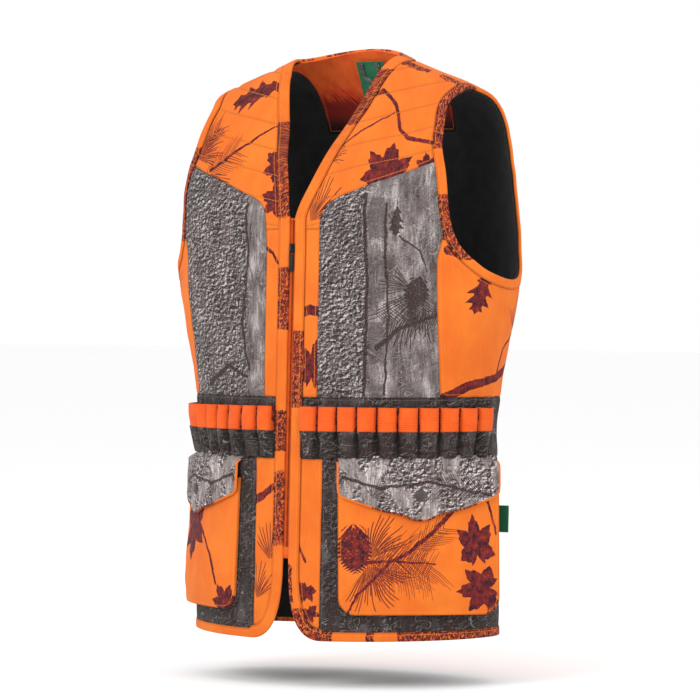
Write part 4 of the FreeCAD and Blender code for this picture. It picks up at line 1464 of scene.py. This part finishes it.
def face_cloth(side, prefix, material):
    params, faces = cut_grid(np.linspace(-HALF, HALF, 69), np.linspace(BAG_BOTTOM, BAG_TOP, 57), bag_distance)
    x, z = params.T
    gap = np.maximum(bag_distance(x, z), 0)
    lift = bag_lift(x, z) - 1.0 * np.exp(-((gap / 2.5) ** 2))
    outer, inner = (on_pocket(bowed(x, depth - lift, z), side) for depth in (FACE_NEAR, FACE_FAR))
    corner = between(x, 88, 104, 6) * 0.8 if side > 0 else between(x, -104, -88, 8) * 0.9
    red = corner * between(z, -200, -180, 12)
    name = prefix + "pocket_face"
    # gap, the distance inside the outline, is the face's edge attribute: sewn() paints shade along its rim
    # and stitches beside it.
    piece = solid_cloth(name, outer, inner, faces, side, material, params, gap, red)
    measure(name, piece, params, len(faces))
    worn(piece, name)


def gusset_cloth(side, prefix):
    """The bellows wall between the face's edge and the vest."""
    arc_end = np.radians(np.linspace(0, 90, 12))
    middle = np.array([HALF - CORNER_R, BAG_BOTTOM + CORNER_R])
    corner = middle + CORNER_R * np.stack([np.cos(arc_end), -np.sin(arc_end)], -1)
    half = np.concatenate([[(HALF, BAG_TOP)], corner, [(0, BAG_BOTTOM)]])
    line = even(np.concatenate([half, half[-2::-1] * (-1, 1)]), 150)
    inward = -normals(line)
    f = np.linspace(0, 1, 15)
    end = np.maximum(depth_to_body(line[:, 0], line[:, 1]), FACE_FAR + 1.2)
    depth = FACE_FAR - 0.5 + f[None, :] * (end - FACE_FAR + 0.9)[:, None]
    fold = np.minimum(0.34 * (end - FACE_FAR), 11.0)[:, None] * np.sin(math.pi * f) ** 2

    def wall(inset):
        q = line[:, None] + inward[:, None] * (0.5 + inset + fold)[..., None]
        return on_pocket(bowed(q[..., 0].ravel(), depth.ravel(), q[..., 1].ravel()), side)

    run = np.repeat(np.linspace(0, 540, len(line)), len(f))
    # The edge attribute is zero where the wall meets the face and the vest, so sewn() paints shade along
    # both, and stitches beside them.
    edge = np.tile(np.minimum(f, 1 - f) * 14, len(line))
    name = prefix + "pocket_gusset"
    piece = solid_cloth(name, wall(0.0), wall(1.3), grid_faces(len(line), len(f)), side, WAIST,
                        np.stack([run + 900, depth.ravel()], -1), edge, between(run, 150, 300, 30) * 0.6)
    worn(piece, name)


def flap_depth(x, z, body):
    """The flap hangs from the waist seam, so its top turns in to the vest."""
    turn = rise(z, -7, 6)
    crease = 0.5 * bumps(x, z, 60, 5.0) * rise(np.hypot(x, z - SNAP_HEIGHT), 10, 26) * (1 - turn)
    return turn * (body - 0.4) - crease


def flap_distance(x, z):
    return line_distance(np.stack([x, z], -1), FLAP_LINE)


def flap_cloth(side, prefix):
    """The flap and the piping round its free edge, both bending where they are sewn on."""
    rows = np.concatenate([np.linspace(-74, -9, 26)[:-1], np.linspace(-9, 7, 13)])
    params, faces = cut_grid(np.linspace(-FLAP_HALF, FLAP_HALF, 81), rows, flap_distance)
    x, z = params.T
    gap = np.maximum(flap_distance(x, z), 0)
    body = depth_to_body(x, np.maximum(z, 0))
    depth = flap_depth(x, z, body)
    dip = 0.35 * np.exp(-((gap - 8.5) ** 2)) - 0.3 * np.exp(-(gap**2) / 3)
    outer, inner = (on_pocket(bowed(x, face, z), side) for face in (depth - 0.8 + dip, depth + 0.8))
    seam = np.where(gap > 6, np.abs(gap - 8.5) + 3.4, 9.4 - gap)
    flap = solid_cloth(prefix + "pocket_flap", outer, inner, faces, side, FLAP, params, seam)
    measure(prefix + "pocket_flap", flap, params, len(faces))
    edge = FLAP_LINE[FLAP_LINE[:, 1] < 1]
    turns = np.linspace(0, 2 * math.pi, 9)[:-1]
    outwards = -normals(edge)
    q = edge[:, None] + outwards[:, None] * (1.1 + 1.35 * np.cos(turns))[None, :, None]
    middle = flap_depth(edge[:, 0], edge[:, 1], depth_to_body(edge[:, 0], np.maximum(edge[:, 1], 0)))
    tube = on_pocket(bowed(q[..., 0], middle[:, None] + 1.25 * np.sin(turns)[None, :], q[..., 1]), side)
    red = np.repeat(between(edge[:, 0], -52, 66, 14) * 0.9, len(turns))
    piping = make(prefix + "flap_piping", tube.reshape(-1, 3), flipped(tube_faces(*tube.shape[:2]), side),
                  BOUND, q.reshape(-1, 2), 6.0, red)
    for piece, node in ((flap, "pocket_flap"), (piping, "flap_piping")):
        prefix + "flap"
        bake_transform(piece)
        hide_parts(prefix + node)


# The cap's radius and height from near its middle out over the rim and under it.
CAP_HEIGHT = 1.9
CAP_PROFILE = np.array([(1.6, 1.85), (3.2, 1.6), (4.3, 1.15), (4.9, 1.0), (5.5, 1.2), (6.4, 1.55), (7.1, 1.3),
                        (7.5, 0.7), (7.4, 0.1), (6.8, 0.0)])


def snap_cap(side, prefix):
    """A pressed cap: a rolled rim, a shallow ring and a domed middle."""
    turns = np.linspace(0, 2 * math.pi, 49)[:-1]
    r, h = CAP_PROFILE.T[:, :, None]
    ring = np.stack([r * np.cos(turns), -0.75 - h + 0 * turns, SNAP_HEIGHT + r * np.sin(turns)], -1)
    poles = [(0, -0.75 - CAP_HEIGHT, SNAP_HEIGHT), (0, -0.75, SNAP_HEIGHT)]
    points = np.concatenate([ring.reshape(-1, 3), poles])
    top, last = len(points) - 2, (len(r) - 1) * 48
    faces = grid_faces(len(r), 48, wrap=True)
    faces += [[(k + 1) % 48, k, top] for k in range(48)]
    faces += [[last + k, last + (k + 1) % 48, top + 1] for k in range(48)]
    piece = make(prefix + "snap_cap", on_pocket(points, side), flipped(faces, side), ENAMEL, sharp=70)
    worn(piece, prefix + "snap_cap", body=prefix + "flap")


for side, prefix, material in ((1, "left_", LEFT_BAG), (-1, "right_", RIGHT_BAG)):
    face_cloth(side, prefix, material)
    gusset_cloth(side, prefix)
    flap_cloth(side, prefix)
    snap_cap(side, prefix)

# ---------------------------------------------------------------- the zip
TILT = math.atan(0.04)
ZIP_LENGTH = (ZIP_TOP - ZIP_BOTTOM) / math.cos(TILT)


def on_zip(points, height=ZIP_BOTTOM):
    """Points at the zip, +Y inwards and +Z along it, moved onto the front."""
    x, y, z = np.moveaxis(np.asarray(points, float), -1, 0)
    y, z = y * math.cos(TILT) + z * math.sin(TILT), z * math.cos(TILT) - y * math.sin(TILT)
    return np.stack([x, y - (120.64 - 0.04 * height), z + height], -1)


def slab(width, depth, heights, rounding=0.25):
    """A long strip's rounded cross-sections, joined up into one closed mesh."""
    (x0, x1), (y0, y1), r = width, depth, rounding
    outline = [(x0, y0 + r), (x0 + r, y0), (x1 - r, y0), (x1, y0 + r)]
    outline += [(x1, y1 - r), (x1 - r, y1), (x0 + r, y1), (x0, y1 - r)]
    points = [(x, y, z) for z in heights for x, y in outline]
    return np.array(points), tube_faces(len(heights), 8)


PITCH = 2.54
for side, prefix in SIDE_NAMES:
    points, faces = slab((1.2, 15.4), (3.25, 3.95), np.linspace(0, ZIP_LENGTH, 90))
    cloth = np.stack([points[:, 0] * side, points[:, 2] + 4000], -1)
    tape = make(prefix + "zip_tape", on_zip(points * (side, 1, 1)), flipped(faces, side), TAPE, cloth)
    worn(tape, prefix + "zip_tape")
    tooth, tooth_faces = slab((0.62, 3.0), (1.7, 5.3), (0.0, 0.25, 1.15, 1.4), 0.45)
    for end in (slice(0, 8), slice(-8, None)):
        tooth[end, :2] = tooth[end, :2] * 0.86 + (0.25, 0.49)
    count = int((ZIP_LENGTH - 17) / PITCH)
    everything, all_faces = [], []
    for k in range(count):
        everything.append(tooth + (0, 0, 14.2 + PITCH * (k + (0.5 if side < 0 else 0))))
        all_faces += [[v + k * len(tooth) for v in face] for face in tooth_faces]
    placed = on_zip(np.concatenate(everything) * (side, 1, 1))
    worn(make(prefix + "zip_teeth", placed, flipped(all_faces, side), TEETH), prefix + "zip_teeth")

# ---------------------------------------------------------------- labels and hanger loop
LABEL_HALF, LABEL_LENGTH = 21.0, 62.0
NECK_LEAN = math.radians(24)
SEAT = np.array([0, 52.49 - 1.2, 11.34 - 14])


def at_neck(points):
    """Points over the facing, -Y outwards and Z along it, moved to the back neck."""
    x, y, z = np.moveaxis(np.asarray(points, float), -1, 0)
    c, s = math.cos(NECK_LEAN), math.sin(NECK_LEAN)
    return np.stack([x, y * c - z * s, y * s + z * c], -1) + SEAT


def label_cloth():
    """The woven label over the facing, left blank."""
    down, across = np.linspace(-LABEL_LENGTH, 0, 40), np.linspace(-LABEL_HALF, LABEL_HALF, 28)
    z, x = np.meshgrid(down, across, indexing="ij")
    curl = -0.25 * np.sin(x / 9 + z / 22) * np.clip(-z / 20, 0, 1)
    outer = np.stack([x, -0.75 + curl, z], -1).reshape(-1, 3)
    place, faces = outer[:, [0, 2]], grid_faces(*x.shape)
    edge = np.minimum(LABEL_HALF - np.abs(x), np.minimum(-z, z + LABEL_LENGTH)).ravel()
    front, back = at_neck(outer), at_neck(outer + (0, 0.7, 0))
    piece = solid_cloth("neck_label", front, back, faces, 1, GREEN, place, edge + 1.6)
    measure("neck_label", piece, place, len(faces))
    worn(piece, "neck_label")


def hanger():
    """A folded strap that hangs in a U over the label."""
    turns = np.radians(np.linspace(180, 360, 25))
    bend = np.stack([12.5 * np.cos(turns), -14 + 12.5 * np.sin(turns)], -1)
    line = even(np.concatenate([[(-12.5, -0.2)], bend, [(12.5, -0.2)]]), 60)
    across = normals(line)
    u = np.array([-2.5, -2.2, 0, 2.2, 2.5, 2.2, 0, -2.2])
    v = np.array([0, -0.62, -0.7, -0.62, 0, 0.62, 0.66, 0.62])
    q = line[:, None] + across[:, None] * u[None, :, None]
    points = np.stack([q[..., 0], -2.7 + v + 0 * q[..., 0], q[..., 1]], -1).reshape(-1, 3)
    run = np.repeat(np.linspace(0, 66, len(line)), len(u))
    place = np.stack([run + 60, np.tile(u, len(line)) * 3 - 200], -1)
    # The edge attribute is least at the strap's folded sides, where sewn() paints shade, and stitching runs
    # down its middle.
    piece = make("hanger_loop", at_neck(points), tube_faces(len(line), len(u)), STRAP, place,
                 np.tile(3.7 - np.abs(u), len(line)))
    worn(piece, "hanger_loop", body="hanger")


def side_tab():
    """A folded green tab caught in the left side seam."""
    base = torso(np.array([1.5]), np.radians([5.0]))[0]
    x = np.array([0.4, 8, 15.4, 16.6, 17.1, 16.6, 15.4, 8, 0.4])
    y = np.array([-0.5, -0.6, -0.72, -0.5, 0, 0.5, 0.72, 0.6, 0.5])
    z = np.linspace(-17, 17, 18)[:, None]
    wave = 0.5 * np.sin(z / 8) * x / 17
    points = np.stack([x + 0 * z, y + wave, z + 0 * x], -1).reshape(-1, 3)
    piece = make("side_label", points + base, tube_faces(len(z), len(x)), GREEN, points[:, [0, 2]], 6.0)
    worn(piece, "side_label")


label_cloth()
hanger()
side_tab()

# ---------------------------------------------------------------- hard parts keep their CAD shape
HARD = {
    LACQUER: ["zip_slider", "zip_puller"],
    RUBBER: ["zip_pull_tab"],
    TEETH: ["zip_top_stops", "zip_retainer_box", "zip_insertion_pin"],
    NICKEL: [
        prefix + part for _, prefix in SIDE_NAMES for part in ("snap_socket", "snap_stud", "snap_post")
    ],
}
for material, names in HARD.items():
    for name in names:
        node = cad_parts[name]
        node.data.materials.clear()
        node.data.materials.append(material)

# What each cloth is sewn to; the loop below only looks up each cloth's name and the one above it.
SEWN_TO = {
    "centre_band": "front_yoke", "chest_panel": "front_yoke", "side_panel": "front_yoke",
    "waist_band": "chest_panel", "lower_centre_band": "waist_band", "lower_panel": "waist_band",
    "pocket_face": "pocket_gusset", "pocket_flap": "waist_band", "lining": "front_yoke",
    "back_yoke": "neckline_binding", "back_panel": "back_yoke", "back_lower_panel": "back_panel",
    "back_lining": "back_yoke", "back_neck_facing": "neckline_binding", "neck_label": "back_neck_facing",
}
for name, (piece, size, area) in CUT.items():
    if name.endswith("front_yoke"):
        continue
    prefix = next((side for _, side in SIDE_NAMES if name.startswith(side)), "")
    above_it = prefix + SEWN_TO[name[len(prefix):]]

# ---------------------------------------------------------------- the studio
bpy.ops.mesh.primitive_plane_add(size=40, location=(0, 0, -0.80))
floor = bpy.context.object
floor.name = "floor"
paper = bpy.data.materials.new("paper")
paper.use_nodes = True
paper.node_tree.nodes["Principled BSDF"].inputs["Base Color"].default_value = (0.97, 0.97, 0.97, 1)
paper.node_tree.nodes["Principled BSDF"].inputs["Roughness"].default_value = 0.9
floor.data.materials.append(paper)

world = bpy.data.worlds.new("studio")
bpy.context.scene.world = world
world.use_nodes = True
world.node_tree.nodes["Background"].inputs[0].default_value = (1, 1, 1, 1)
world.node_tree.nodes["Background"].inputs[1].default_value = 1.0

AZIMUTH, DISTANCE, AIM = math.radians(33), 5.5, Vector((0.002, 0.001, -0.377))


def lamp(name, turn, height, distance, size, power):
    """A soft square light turned round the object from the camera, in degrees."""
    angle = -math.pi / 2 + AZIMUTH + math.radians(turn)
    place = Vector((math.cos(angle) * distance, math.sin(angle) * distance, height))
    data = bpy.data.lights.new(name, "AREA")
    data.shape, data.size, data.energy = "SQUARE", size, power
    light = bpy.data.objects.new(name, data)
    light.location = place
    light.rotation_euler = (AIM - place).to_track_quat("-Z", "Y").to_euler()
    bpy.context.collection.objects.link(light)
    return light


lights = [
    lamp("key", -38, 1.4, 3.0, 1.6, 44),
    lamp("fill", 52, 0.6, 3.2, 2.4, 18),
    lamp("top", 10, 2.8, 1.0, 2.0, 18),
]
data = bpy.data.cameras.new("camera")
data.lens, data.sensor_width = 219, 36
camera = bpy.data.objects.new("camera", data)
camera.location = AIM + Vector((math.sin(AZIMUTH) * DISTANCE, -math.cos(AZIMUTH) * DISTANCE, 0.10))
camera.rotation_euler = (AIM - camera.location).to_track_quat("-Z", "Y").to_euler()
bpy.context.collection.objects.link(camera)
bpy.context.scene.camera = camera
bpy.context.scene.view_settings.view_transform = "Standard"
